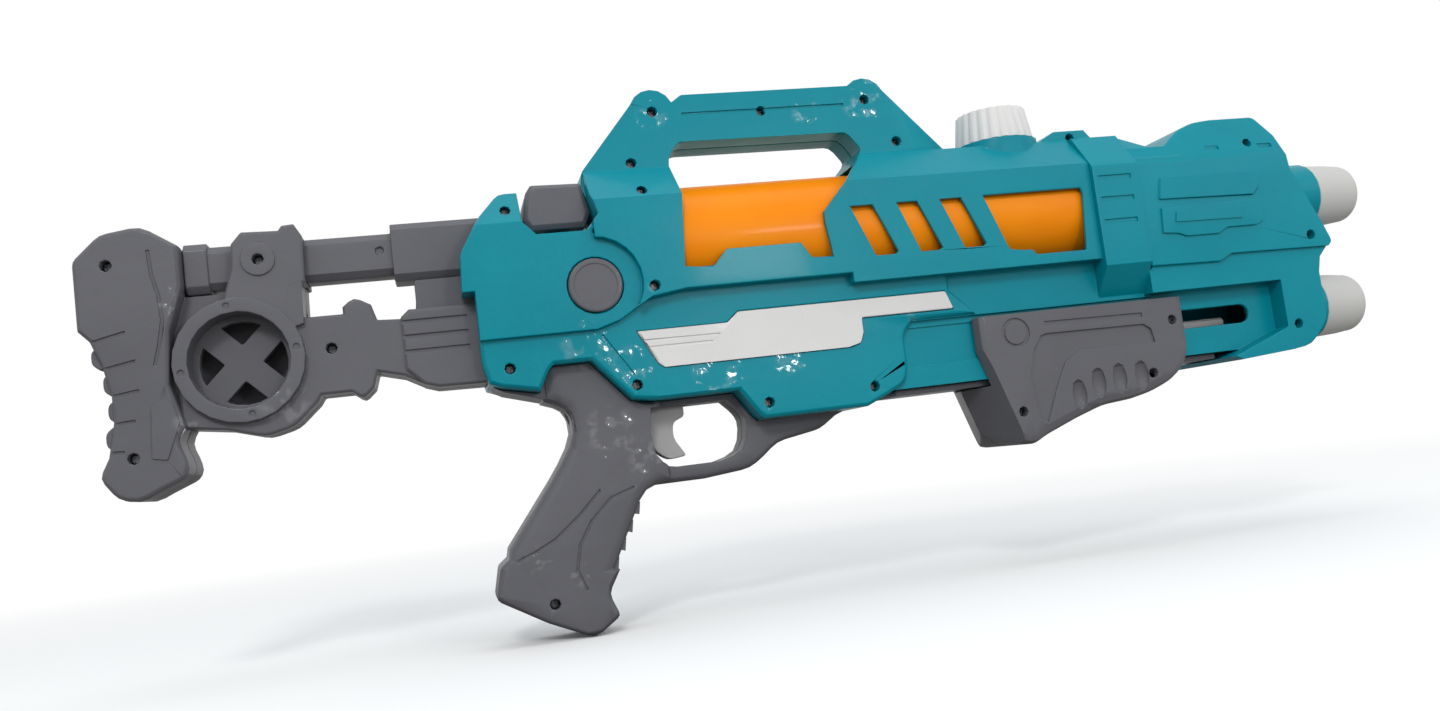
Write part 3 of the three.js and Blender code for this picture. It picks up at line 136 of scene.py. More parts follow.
class Finish:  # the node tree of one material or world
    def __init__(self, owner):
        self.owner = owner
        owner.use_nodes = True
        self.tree = owner.node_tree
        self.tree.nodes.clear()

    def node(self, kind, settings=None, sockets=None, out=0):
        made = self.tree.nodes.new(kind)
        for key, value in (settings or {}).items():
            setattr(made, key, value)
        for key, value in (sockets or {}).items():
            if isinstance(value, Wire):
                self.tree.links.new(value.socket, made.inputs[key])
            else:
                made.inputs[key].default_value = value
        return Wire(self, made.outputs[out]) if len(made.outputs) else None

    def noise(self, scale, detail, stretch=None):
        where = self.node("ShaderNodeTexCoord", out="Object")
        if stretch:
            where = self.node("ShaderNodeMapping", {}, {"Vector": where, "Scale": stretch})
        return self.node("ShaderNodeTexNoise", {}, {"Vector": where, "Scale": scale, "Detail": detail})

    def blend(self, share, first, second):
        return self.node(
            "ShaderNodeMix", {"data_type": "RGBA"}, {"Factor": share, "A": first, "B": second}, out=2)

    def close(self, surface, kind="ShaderNodeOutputMaterial"):
        self.node(kind, {}, {"Surface": surface})
        return self.owner


sinkMarks = [  # rippled sink marks of the mouldings that catch the light: place and reach in mm
    ((152, -14, 154), 13), ((121, -14, 150), 8), ((47, -14, 152), 8), ((11, -16, 9), 13),
    ((26, -15, -6), 10), ((3, -24, 46), 13), ((22, -24, 36), 10), ((62, -25, 32), 14),
    ((95, -25, 33), 9), ((-124, -16, 36), 12), ((-162, -17, 32), 8), ((-166, -17, 84), 7),
    ((-26, -16, -43), 8), ((-9, -16, -52), 6), ((160, -24, 48), 8),
]


def sinkMask(finish):  # 1 in the middle of each sink mark and 0 outside it
    where = finish.node("ShaderNodeTexCoord", out="Object")
    mask = 0.0
    for place, reach in sinkMarks:
        middle = Vector(place) * mm
        away = finish.node(
            "ShaderNodeVectorMath", {"operation": "DISTANCE"}, {0: where, 1: middle}, out=1)
        mask = (1.0 - away * (1 / (reach * mm))).clamped() + mask
    return mask.clamped()


def mouldedPlastic(name, look):
    finish = Finish(bpy.data.materials.new(name))
    cloud = finish.noise(look["cloudScale"], look["cloudDetail"])
    flow = finish.noise(look["flowScale"], look["flowDetail"], look["flowStretch"])
    peel = finish.noise(look["peelScale"], look["peelDetail"])
    grain = finish.noise(look["grainScale"], look["grainDetail"])
    clouded = (cloud * look["cloudGain"] - look["cloudCut"]).clamped()
    tone = finish.blend(clouded, look["shade"], look["colour"])
    tone = finish.blend(flow * look["flowShare"], tone, look["light"])
    rough = (flow * look["roughSpread"] + grain * look["grainRough"] + look["rough"]).clamped()
    waves = finish.node(
        "ShaderNodeBump", {}, {"Strength": look["peel"], "Distance": look["peelRise"], "Height": peel})
    skin = finish.node("ShaderNodeBump", {}, {
        "Strength": look["grain"], "Distance": look["grainRise"], "Height": grain, "Normal": waves,
    })
    surface = finish.node("ShaderNodeBsdfPrincipled", {}, {
        "Base Color": tone, "Roughness": rough, "Normal": skin,
        "Coat Weight": look["coat"], "Coat Roughness": look["coatRough"], "IOR": look["ior"],
        "Specular IOR Level": look["gloss"],
    })
    if look["sink"]:
        ripple = finish.noise(look["rippleScale"], look["rippleDetail"])
        patch = finish.noise(look["patchScale"], look["patchDetail"])
        ripples = finish.node("ShaderNodeBump", {}, {
            "Strength": look["ripple"], "Distance": look["rippleRise"], "Height": ripple,
        })
        shiny = finish.node("ShaderNodeBsdfPrincipled", {}, {
            "Base Color": tone, "Roughness": look["shinyRough"], "Normal": ripples, "IOR": look["ior"],
            "Specular IOR Level": look["shine"],
        })
        patches = (patch * look["patchGain"] - look["patchCut"]).clamped()
        share = (sinkMask(finish) * look["sink"]).clamped() * patches
        surface = finish.node("ShaderNodeMixShader", {}, {0: share, 1: surface, 2: shiny})
    return finish.close(surface)


plasticLook = {  # what all the mouldings share; rises are in metres
    "cloudScale": 22.0, "cloudDetail": 3.0, "cloudGain": 1.6, "cloudCut": 0.3,
    "flowScale": 45.0, "flowDetail": 2.0, "flowStretch": (1.0, 1.0, 2.5), "flowShare": 0.25,
    "peelScale": 260.0, "peelDetail": 1.0, "peel": 0.22, "peelRise": 0.0004,
    "grainScale": 1500.0, "grainDetail": 2.0, "grain": 0.35, "grainRise": 0.00008, "grainRough": 0.06,
    "roughSpread": 0.16, "coat": 0.06, "coatRough": 0.08, "gloss": 0.12, "ior": 1.5,
    "sink": 0.0, "rippleScale": 330.0, "rippleDetail": 0.0, "rippleRise": 0.0007, "ripple": 0.8,
    "patchScale": 190.0, "patchDetail": 1.0, "patchGain": 9.0, "patchCut": 4.4,
    "shine": 0.9, "shinyRough": 0.12,
}
tealLook = dict(
    plasticLook, rough=0.24, sink=2.6,
    colour=fromScreen(0, 134, 149), shade=fromScreen(0, 122, 138), light=fromScreen(4, 143, 157))
greyLook = dict(
    plasticLook, rough=0.32, sink=2.6,
    colour=fromScreen(98, 98, 103), shade=fromScreen(89, 89, 94), light=fromScreen(108, 108, 112))
whiteLook = dict(
    plasticLook, rough=0.3,
    colour=fromScreen(214, 213, 211), shade=fromScreen(204, 203, 202), light=fromScreen(223, 222, 220))
paleLook = dict(
    plasticLook, rough=0.38, coat=0.0, peel=0.1,
    colour=fromScreen(194, 193, 190), shade=fromScreen(184, 183, 180), light=fromScreen(203, 202, 199))
orangeLook = dict(
    plasticLook, rough=0.26, peel=0.12,
    colour=fromScreen(240, 140, 4), shade=fromScreen(232, 122, 0), light=fromScreen(246, 156, 14))
# painted shade: the trigger's white plastic painted darker grey for the shadow it sits in inside the
# trigger guard
leverPaintedShadeLook = dict(
    plasticLook, rough=0.34, coat=0.0,
    colour=fromScreen(168, 167, 167), shade=fromScreen(156, 155, 155), light=fromScreen(178, 177, 177))
hoseLook = dict(
    plasticLook, rough=0.3, coat=0.1, peel=0.1,
    colour=fromScreen(206, 210, 207), shade=fromScreen(194, 199, 196), light=fromScreen(218, 221, 219))
rubberLook = dict(
    plasticLook, rough=0.62, coat=0.0, peel=0.1,
    colour=fromScreen(40, 40, 42), shade=fromScreen(32, 32, 34), light=fromScreen(54, 54, 56))
steelLook = {  # zinc-plated screws and springs
    "brushScale": 420.0, "brushDetail": 3.0, "brushStretch": (1.0, 6.0, 1.0),
    "stainScale": 160.0, "stainDetail": 2.0, "stainGain": 1.5, "stainCut": 0.25,
    "stained": fromScreen(58, 59, 62), "bright": fromScreen(104, 105, 108),
    "rough": 0.25, "roughSpread": 0.3, "scratch": 0.3, "scratchRise": 0.00006, "metal": 0.9,
}


def zincSteel(name, look):
    finish = Finish(bpy.data.materials.new(name))
    brush = finish.noise(look["brushScale"], look["brushDetail"], look["brushStretch"])
    stain = finish.noise(look["stainScale"], look["stainDetail"])
    stains = (stain * look["stainGain"] - look["stainCut"]).clamped()
    tone = finish.blend(stains, look["stained"], look["bright"])
    rough = (brush * look["roughSpread"] + look["rough"]).clamped()
    scratches = finish.node("ShaderNodeBump", {}, {
        "Strength": look["scratch"], "Distance": look["scratchRise"], "Height": brush,
    })
    surface = finish.node("ShaderNodeBsdfPrincipled", {}, {
        "Base Color": tone, "Roughness": rough, "Normal": scratches, "Metallic": look["metal"],
    })
    return finish.close(surface)


finishes = {
    "teal_plastic": mouldedPlastic("tealMoulding", tealLook),
    "grey_plastic": mouldedPlastic("greyMoulding", greyLook),
    "white_plastic": mouldedPlastic("whiteMoulding", whiteLook),
    "pale_plastic": mouldedPlastic("paleMoulding", paleLook),
    "trigger": mouldedPlastic("triggerPaintedShade", leverPaintedShadeLook),
    # the trigger's white plastic with painted shade for the recess inside the guard
    "orange_plastic": mouldedPlastic("orangeBottle", orangeLook),
    "hose_plastic": mouldedPlastic("softHose", hoseLook),
    "seal_rubber": mouldedPlastic("sealRubber", rubberLook),
    "screw_steel": zincSteel("zincSteel", steelLook),
}
print("finishes made:", len(finishes))

slotOf = {row["node"]: row["material_slot"] for row in frame["record"]["subparts"]}
bodies = frame["record"]["behaviour"]["bodies"]
bodyOf = {node: body for body, nodes in bodies.items() for node in nodes}


def paint(piece, slot):
    piece.data.materials.clear()
    piece.data.materials.append(finishes[slot])


def activate(piece):
    bpy.ops.object.select_all(action="DESELECT")
    piece.select_set(True)
    bpy.context.view_layer.objects.active = piece


def copyNode(node, name):
    piece = frame["nodes"][node].copy()
    piece.data = piece.data.copy()
    piece.name = name
    piece.data.name = name
    piece.parent = None
    for key in list(piece.keys()):
        del piece[key]
    scene.collection.objects.link(piece)
    return piece


def seat(piece, node):  # the piece stands for the node and takes its body and finish
    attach(piece, bodyOf[node])
    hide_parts(node)
    paint(piece, node if node in finishes else slotOf[node])


def roomAt(mesh):  # how far a rounding may reach along each vertex's shortest edge and sharpest corner
    room = [1.0] * len(mesh.vertices)
    for edge in mesh.edges:
        first, second = (mesh.vertices[index].co for index in edge.vertices)
        for index in edge.vertices:
            room[index] = min(room[index], (first - second).length)
    slant = [1.0] * len(mesh.vertices)
    for face in mesh.polygons:
        corners = list(face.vertices)
        around = zip(corners[-1:] + corners[:-1], corners, corners[1:] + corners[:1])
        for before, corner, after in around:
            here = mesh.vertices[corner].co
            angle = (mesh.vertices[before].co - here).angle(mesh.vertices[after].co - here, math.pi)
            slant[corner] = min(slant[corner], math.tan(angle / 2) if angle < math.pi / 2 else 1.0)
    return [length * share for length, share in zip(room, slant)]


def weighEdges(mesh, look):  # sharp edges get the bevel that their ends have room for
    sides = {}
    for face in mesh.polygons:
        for key in face.edge_keys:
            sides.setdefault(key, []).append(face.normal)
    room = roomAt(mesh)
    weights = mesh.attributes.new("bevel_weight_edge", "FLOAT", "EDGE")
    for edge in mesh.edges:
        normals = sides[tuple(sorted(edge.vertices))]
        if len(normals) != 2 or normals[0].angle(normals[1], 0.0) < math.radians(look["angle"]):
            continue
        reach = look["share"] * min(room[index] for index in edge.vertices)
        if reach > look["least"] * mm:
            weights.data[edge.index].value = min(1.0, reach / (look["edge"] * mm))


def startAt(name, place):  # a single vertex in edit mode, ready to be extruded
    bpy.ops.object.select_all(action="DESELECT")
    bpy.ops.mesh.primitive_plane_add(size=mm, location=place)
    piece = bpy.context.active_object
    piece.name = name
    piece.data.name = name
    bpy.ops.object.transform_apply(location=True, rotation=True, scale=True)
    bpy.ops.object.mode_set(mode="EDIT")
    bpy.ops.mesh.select_mode(type="VERT")
    bpy.ops.mesh.select_all(action="SELECT")
    bpy.ops.mesh.merge(type="CENTER")
    return piece


def join(piece, tool, operation):  # boolean with a tool that is used up
    activate(piece)
    change = piece.modifiers.new("join", "BOOLEAN")
    change.operation = operation
    change.solver = "EXACT"
    change.object = tool
    bpy.ops.object.modifier_apply(modifier=change.name)
    bpy.data.objects.remove(tool, do_unlink=True)


def slabTool(outline, fromY, toY):  # an outline in X and Z as a slab across Y
    points = [Vector((x, fromY, z)) * mm for x, z in outline]
    tool = startAt("slabTool", points[0])
    for before, after in zip(points, points[1:]):
        bpy.ops.mesh.extrude_region_move(TRANSFORM_OT_translate={"value": after - before})
    bpy.ops.mesh.select_all(action="SELECT")
    bpy.ops.mesh.edge_face_add()
    bpy.ops.mesh.extrude_region_move(TRANSFORM_OT_translate={"value": (0, (toY - fromY) * mm, 0)})
    bpy.ops.mesh.select_all(action="SELECT")
    bpy.ops.mesh.normals_make_consistent(inside=False)
    bpy.ops.object.mode_set(mode="OBJECT")
    return tool


def dentTool(place, half):  # an egg that presses a finger dent
    bpy.ops.object.select_all(action="DESELECT")
    bpy.ops.mesh.primitive_uv_sphere_add(
        segments=fingerDents["segments"], ring_count=fingerDents["rings"], radius=1.0,
        location=[value * mm for value in place])
    tool = bpy.context.active_object
    tool.scale = [value * mm for value in half]
    bpy.ops.object.transform_apply(location=True, rotation=True, scale=True)
    return tool


welding = {"gap": 0.00002, "flat": 0.4}  # metres between twin vertices, degrees between flat faces


def weld(piece):
    activate(piece)
    bpy.ops.object.mode_set(mode="EDIT")
    bpy.ops.mesh.select_all(action="SELECT")
    bpy.ops.mesh.remove_doubles(threshold=welding["gap"])
    bpy.ops.mesh.dissolve_limited(angle_limit=math.radians(welding["flat"]), delimit=set())
    bpy.ops.object.mode_set(mode="OBJECT")


windowFit = {  # the tank window of the shells, fitted closer to the photograph
    "outer": 30.8, "inner": 28.6, "spare": 0.6,
    "right": [(120.5, 77.0), (118.5, 92.0), (118.7, 97.0), (131.2, 110.3), (133.5, 110.3), (126.5, 93.0),
              (127.0, 77.0)],
    "slope": [(66.0, 78.7), (70.5, 83.5), (73.0, 83.5), (69.0, 78.7)],
    "open": [(53.2, 110.0), (50.5, 76.5), (64.0, 76.5), (70.5, 83.5), (105.5, 83.5), (110.0, 76.2),
             (120.5, 75.8), (118.5, 92.0), (118.7, 97.0), (112.0, 104.0)],
}
webFit = {  # the web of the thumb, closed behind the grip's hollow
    "deep": [(-6.2, 19.4), (-5.4, 16.4), (-5.0, 10.6), (-2.5, 10.6), (-2.5, 19.4)],
    "deepY": (0.2, 12.8),
    "edge": [(-5.2, 19.4), (-4.5, 16.4), (-4.2, 10.6), (-2.0, 10.6), (-2.0, 19.4)],
    "edgeY": (12.5, 14.0),
}
slotFit = {  # the far end of the pump's slot, which the photograph doesn't show open
    "outline": [(324.6, 23.0), (338.0, 23.0), (338.0, 37.0), (324.6, 37.0)],
    "depth": (17.9, 19.9),
}
stockFit = {  # pad down to the butt, straight side of the bracket, and a pin in the tube's hole
    "pad": [(-176.1, 40.2), (-173.5, 43.0), (-169.5, 43.8), (-168.0, 41.0), (-165.8, 33.5),
            (-171.6, 18.6), (-177.2, 19.7)],
    "padY": (8.0, 17.6),
    "bracket": [(-121.5, 68.0), (-119.0, 86.5), (-113.4, 89.0), (-114.0, 70.0)],
    "bracketY": (0.15, 14.9),
    "pin": [(-82.6, 97.5), (-78.0, 97.5), (-78.0, 102.3), (-82.6, 102.3)],
    "pinY": (-6.6, 6.6),
}
fingerDents = {  # oval hollows in the pump handle
    "places": [(235.4, -0.9), (246.4, 3.6), (257.9, 4.6), (269.9, 4.6)],
    "outer": 27.0, "half": (3.7, 2.4, 7.4), "segments": 40, "rings": 20,
}


def refit(piece, node):  # forms that come closer to the photograph than the solid does
    side = 1 if node.endswith("left") else -1
    if node.startswith("shell"):
        for outline in (windowFit["right"], windowFit["slope"]):
            join(piece, slabTool(outline, side * windowFit["inner"], side * windowFit["outer"]), "UNION")
        fromY = side * (windowFit["inner"] - windowFit["spare"])
        toY = side * (windowFit["outer"] + windowFit["spare"])
        join(piece, slabTool(windowFit["open"], fromY, toY), "DIFFERENCE")
    if node == "shell_left":
        join(piece, slabTool(slotFit["outline"], *slotFit["depth"]), "UNION")
    if node in ("stock_left", "stock_right"):
        for part in ("pad", "bracket"):
            reach = [side * value for value in stockFit[part + "Y"]]
            join(piece, slabTool(stockFit[part], *reach), "UNION")
    if node == "stock_tube":
        join(piece, slabTool(stockFit["pin"], *stockFit["pinY"]), "UNION")
    if node.startswith("grip"):
        for part in ("deep", "edge"):
            reach = [side * value for value in webFit[part + "Y"]]
            join(piece, slabTool(webFit[part], *reach), "UNION")


def pressDents(piece, node):
    side = 1 if node.endswith("left") else -1
    for x, z in fingerDents["places"]:
        join(piece, dentTool((x, side * fingerDents["outer"], z), fingerDents["half"]), "DIFFERENCE")


def roundEdges(piece, look):
    activate(piece)
    weighEdges(piece.data, look)
    bpy.ops.object.mode_set(mode="EDIT")
    bpy.ops.mesh.select_all(action="SELECT")
    bpy.ops.mesh.quads_convert_to_tris(  # a rounding that overshoots then spoils no broad face
        quad_method="BEAUTY", ngon_method="BEAUTY")
    bpy.ops.object.mode_set(mode="OBJECT")
    bevel = piece.modifiers.new("edges", "BEVEL")
    bevel.width = look["edge"] * mm
    bevel.segments = look["segments"]
    bevel.limit_method = "WEIGHT"
    bevel.use_clamp_overlap = False
    bpy.ops.object.modifier_apply(modifier=bevel.name)


def shadeEdges(piece, look):
    activate(piece)
    bpy.ops.object.shade_smooth_by_angle(angle=math.radians(look["angle"]))
    weigh = piece.modifiers.new("shade", "WEIGHTED_NORMAL")
    weigh.keep_sharp = True
    bpy.ops.object.modifier_apply(modifier=weigh.name)


softEdges = {"edge": 0.7, "segments": 2, "angle": 26, "share": 0.4, "least": 0.05}  # mm and degrees
gripEdges = dict(softEdges, angle=48)  # the grip's own curves stay as they are
mouldings = {
    "shell_right": ("shellRight", softEdges), "shell_left": ("shellLeft", softEdges),
    "stock_right": ("stockRight", softEdges), "stock_left": ("stockLeft", softEdges),
    "grip_right": ("gripRight", gripEdges), "grip_left": ("gripLeft", gripEdges),
    "foregrip_right": ("foregripRight", softEdges), "foregrip_left": ("foregripLeft", softEdges),
    "stock_tube": ("stockTube", softEdges), "stock_wheel": ("stockWheel", softEdges),
    "rear_block": ("rearBlock", softEdges), "rail_strip": ("railStrip", softEdges),
    "side_panel_right": ("sidePanelRight", softEdges), "side_panel_left": ("sidePanelLeft", softEdges),
    "trigger": ("triggerLever", softEdges),
}
for node, (name, look) in mouldings.items():
    piece = copyNode(node, name)
    weld(piece)
    refit(piece, node)
    if node.startswith("foregrip"):
        pressDents(piece, node)
    roundEdges(piece, look)
    shadeEdges(piece, look)
    seat(piece, node)
print("mouldings rounded:", len(mouldings))


turning = {"seamGap": 0.00001, "ridgeFlat": 0.3, "smoothAngle": 30}


def turnProfile(name, look):  # the profile's (radius, height) pairs spun about the axis
    base = Vector(look["base"]) * mm
    axis = Vector(look["axis"])
    side = Vector(look["side"])
    points = [base + side * radius * mm + axis * height * mm for radius, height in look["profile"]]
    piece = startAt(name, points[0])
    for before, after in zip(points, points[1:]):
        bpy.ops.mesh.extrude_region_move(TRANSFORM_OT_translate={"value": after - before})
    bpy.ops.mesh.select_all(action="SELECT")
    bpy.ops.mesh.spin(steps=look["steps"], angle=2 * math.pi, center=base, axis=axis)
    bpy.ops.mesh.select_all(action="SELECT")
    bpy.ops.mesh.remove_doubles(threshold=turning["seamGap"])
    bpy.ops.mesh.normals_make_consistent(inside=False)
    bpy.ops.object.mode_set(mode="OBJECT")
    return piece


def arc(centreRadius, centreHeight, size, fromAngle, toAngle, count):  # part of a circle in a profile
    points = []
    for step in range(count + 1):
        angle = math.radians(fromAngle + (toAngle - fromAngle) * step / count)
        points.append((centreRadius + size * math.cos(angle), centreHeight + size * math.sin(angle)))
    return points


def smooth(piece, angle):
    activate(piece)
    bpy.ops.object.shade_smooth_by_angle(angle=math.radians(angle))


def ringRidge(radius, height, rise, half):  # a rounded ridge in a profile
    flat = half * turning["ridgeFlat"]
    return [(radius, height - half), (radius + rise, height - flat), (radius + rise, height + flat),
            (radius, height + half)]


bottle = {
    "rear": 44.0, "front": 263.0, "radius": 28.0, "round": 9.0, "roundSteps": 8, "axisZ": 91.3, "steps": 96,
}
bottleNeck = {
    "x": 224.0, "radius": 13.0, "bore": 10.5, "low": 112.0, "floor": 2.0, "lip": 0.6,
    "threadDrops": (8.6, 5.0), "thread": 0.4, "threadHalf": 1.0, "steps": 64,
}
bottleOutlet = {"x": 100.0, "radius": 3.5, "low": 59.3, "high": 66.0, "steps": 24}


def makeBottle():
    size = bottle["round"]
    inner = bottle["radius"] - size
    profile = [(0.0, bottle["rear"])]
    profile += arc(inner, bottle["rear"] + size, size, -90, 0, bottle["roundSteps"])
    profile += arc(inner, bottle["front"] - size, size, 0, 90, bottle["roundSteps"])
    profile += [(0.0, bottle["front"])]
    body = turnProfile("waterBottle", {
        "base": (0, 0, bottle["axisZ"]), "axis": (1, 0, 0), "side": (0, 0, 1), "profile": profile,
        "steps": bottle["steps"]})
    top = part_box("tank")[1][2] / mm
    radius = bottleNeck["radius"]
    bore = bottleNeck["bore"]
    lip = bottleNeck["lip"]
    low = bottleNeck["low"]
    rim = [(0.0, low), (radius, low)]
    for drop in bottleNeck["threadDrops"]:
        rim += ringRidge(radius, top - drop, bottleNeck["thread"], bottleNeck["threadHalf"])
    rim += [(radius, top - lip), (radius - lip, top), (bore, top), (bore, low + bottleNeck["floor"]),
            (0.0, low + bottleNeck["floor"])]
    neck = turnProfile("bottleNeck", {
        "base": (bottleNeck["x"], 0, 0), "axis": (0, 0, 1), "side": (1, 0, 0), "profile": rim,
        "steps": bottleNeck["steps"]})
    join(body, neck, "UNION")
    spout = [(0.0, bottleOutlet["low"]), (bottleOutlet["radius"], bottleOutlet["low"]),
             (bottleOutlet["radius"], bottleOutlet["high"]), (0.0, bottleOutlet["high"])]
    outlet = turnProfile("bottleOutlet", {
        "base": (bottleOutlet["x"], 0, 0), "axis": (0, 0, 1), "side": (1, 0, 0), "profile": spout,
        "steps": bottleOutlet["steps"]})
    join(body, outlet, "UNION")
    smooth(body, turning["smoothAngle"])
    seat(body, "tank")


fillerCap = {
    "x": 224.0, "radius": 19.6, "topRadius": 17.2, "flutes": 22, "perFlute": 8,
    "fluteDepth": 0.8, "bore": 13.6, "topWall": 2.0, "rim": 1.6, "slope": 1.2, "dish": 0.5,
    "facing": 0.9, "edge": 0.7, "edgeSegments": 3, "edgeAngle": 50, "smoothAngle": 40,
}


def makeFillerCap():
    low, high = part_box("tank_cap")
    height = (high[2] - low[2]) / mm
    middle = (high[2] + low[2]) / mm / 2
    bpy.ops.object.select_all(action="DESELECT")
    bpy.ops.mesh.primitive_cylinder_add(
        vertices=fillerCap["flutes"] * fillerCap["perFlute"], radius=fillerCap["radius"] * mm,
        depth=height * mm, location=(fillerCap["x"] * mm, 0, middle * mm))
    cap = bpy.context.active_object
    cap.name = "fillerCap"
    cap.data.name = "fillerCap"
    taper = fillerCap["topRadius"] / fillerCap["radius"]
    for vertex in cap.data.vertices:  # flutes are rounded grooves that fade at the top
        angle = math.atan2(vertex.co.y, vertex.co.x)
        wave = 0.5 - 0.5 * math.cos(angle * fillerCap["flutes"])
        depth = fillerCap["fluteDepth"] * mm * wave ** 2
        scale = (fillerCap["radius"] * mm - depth) / (fillerCap["radius"] * mm)
        scale *= taper if vertex.co.z > 0 else 1.0
        vertex.co.x *= scale
        vertex.co.y *= scale
    bpy.ops.object.transform_apply(location=True, rotation=True, scale=True)
    bpy.ops.object.mode_set(mode="EDIT")
    bpy.ops.mesh.select_all(action="DESELECT")
    bpy.ops.object.mode_set(mode="OBJECT")
    for face in cap.data.polygons:
        face.select = face.normal.z > fillerCap["facing"]
    bpy.ops.object.mode_set(mode="EDIT")
    bpy.ops.mesh.select_mode(type="FACE")
    bpy.ops.mesh.inset(thickness=fillerCap["rim"] * mm)
    bpy.ops.mesh.inset(thickness=fillerCap["slope"] * mm, depth=-fillerCap["dish"] * mm)
    bpy.ops.mesh.select_all(action="DESELECT")
    bpy.ops.object.mode_set(mode="OBJECT")
    for face in cap.data.polygons:
        face.select = face.normal.z < -fillerCap["facing"]
    bpy.ops.object.mode_set(mode="EDIT")
    bpy.ops.mesh.inset(thickness=(fillerCap["radius"] - fillerCap["bore"]) * mm)
    bpy.ops.mesh.extrude_region_move(
        TRANSFORM_OT_translate={"value": (0, 0, (height - fillerCap["topWall"]) * mm)})
    bpy.ops.mesh.select_all(action="SELECT")
    bpy.ops.mesh.normals_make_consistent(inside=False)
    bpy.ops.object.mode_set(mode="OBJECT")
    bevel = cap.modifiers.new("edges", "BEVEL")
    bevel.width = fillerCap["edge"] * mm
    bevel.segments = fillerCap["edgeSegments"]
    bevel.limit_method = "ANGLE"
    bevel.angle_limit = math.radians(fillerCap["edgeAngle"])
    bpy.ops.object.modifier_apply(modifier=bevel.name)
    smooth(cap, fillerCap["smoothAngle"])
    seat(cap, "tank_cap")


nozzles = {
    "nozzle_upper": {"name": "nozzleUpper", "x": 396.8, "z": 90.0},
    "nozzle_lower": {"name": "nozzleLower", "x": 390.0, "z": 31.0},
}
nozzleForm = {
    "spigot": 10.0, "spigotX": 384.5, "radius": 16.5, "length": 27.0, "steps": 72, "smoothAngle": 35,
    "chamfer": 0.5, "taper": 0.7, "taperAt": 0.55, "tip": 13.4, "tipFlare": 1.6, "tipLength": 5.5,
    "round": 5.0, "roundIn": 3.4, "roundFrom": 10, "roundTo": 80, "roundSteps": 7,
    "jet": 2.5, "jetFlare": 1.2, "jetChamfer": 0.8, "jetDepth": 12.0,
}


def makeNozzles():
    form = nozzleForm
    length = form["length"]
    deep = length - form["jetDepth"]
    tip = [(form["radius"] - form["taper"], length * form["taperAt"]),
           (form["tip"] + form["tipFlare"], length - form["tipLength"])]
    tip += arc(form["tip"] - form["roundIn"], length - form["round"], form["round"], form["roundFrom"],
               form["roundTo"], form["roundSteps"])
    tip += [(form["jet"] + form["jetFlare"], length), (form["jet"], length - form["jetChamfer"]),
            (form["jet"], deep), (0.0, deep)]
    for node, look in nozzles.items():
        start = form["spigotX"] - look["x"]
        foot = [(0.0, start), (form["spigot"], start), (form["spigot"], 0.0),
                (form["radius"] - form["chamfer"], 0.0), (form["radius"], form["chamfer"])]
        piece = turnProfile(look["name"], {
            "base": (look["x"], 0, look["z"]), "axis": (1, 0, 0), "side": (0, 0, 1), "profile": foot + tip,
            "steps": form["steps"]})
        smooth(piece, form["smoothAngle"])
        seat(piece, node)


pivotDisc = {
    "x": 10.2, "z": 73.0, "y": 25.2, "radius": 12.0, "thick": 3.0, "edge": 1.0, "edgeFrom": 15,
    "edgeTo": 90, "edgeSteps": 5, "rim": 2.2, "rimFoot": 2.6, "dish": 0.35, "steps": 72, "smoothAngle": 35,
}
pivotSides = {"pivot_disc_right": ("pivotDiscRight", -1), "pivot_disc_left": ("pivotDiscLeft", 1)}


def makePivotDiscs():
    disc = pivotDisc
    radius = disc["radius"]
    thick = disc["thick"]
    edge = disc["edge"]
    profile = [(0.0, 0.0), (radius, 0.0), (radius, thick - edge)]
    profile += arc(radius - edge, thick - edge, edge, disc["edgeFrom"], disc["edgeTo"], disc["edgeSteps"])
    profile += [(radius - disc["rim"], thick), (radius - disc["rimFoot"], thick - disc["dish"]),
                (0.0, thick - disc["dish"])]
    for node, (name, way) in pivotSides.items():
        piece = turnProfile(name, {
            "base": (disc["x"], way * disc["y"], disc["z"]), "axis": (0, way, 0), "side": (1, 0, 0),
            "profile": profile, "steps": disc["steps"]})
        smooth(piece, disc["smoothAngle"])
        seat(piece, node)


crossScrew = {
    "head": 2.1, "headHeight": 1.6, "headRound": 0.6, "headFlat": 0.7, "roundFrom": -80, "roundSteps": 4,
    "shank": 1.2, "point": 1.5, "pointRadius": 0.3, "longerFrom": 3.0,
    "slot": 0.55, "slotReach": 1.5, "slotDepth": 0.9, "steps": 32, "smoothAngle": 35,
}


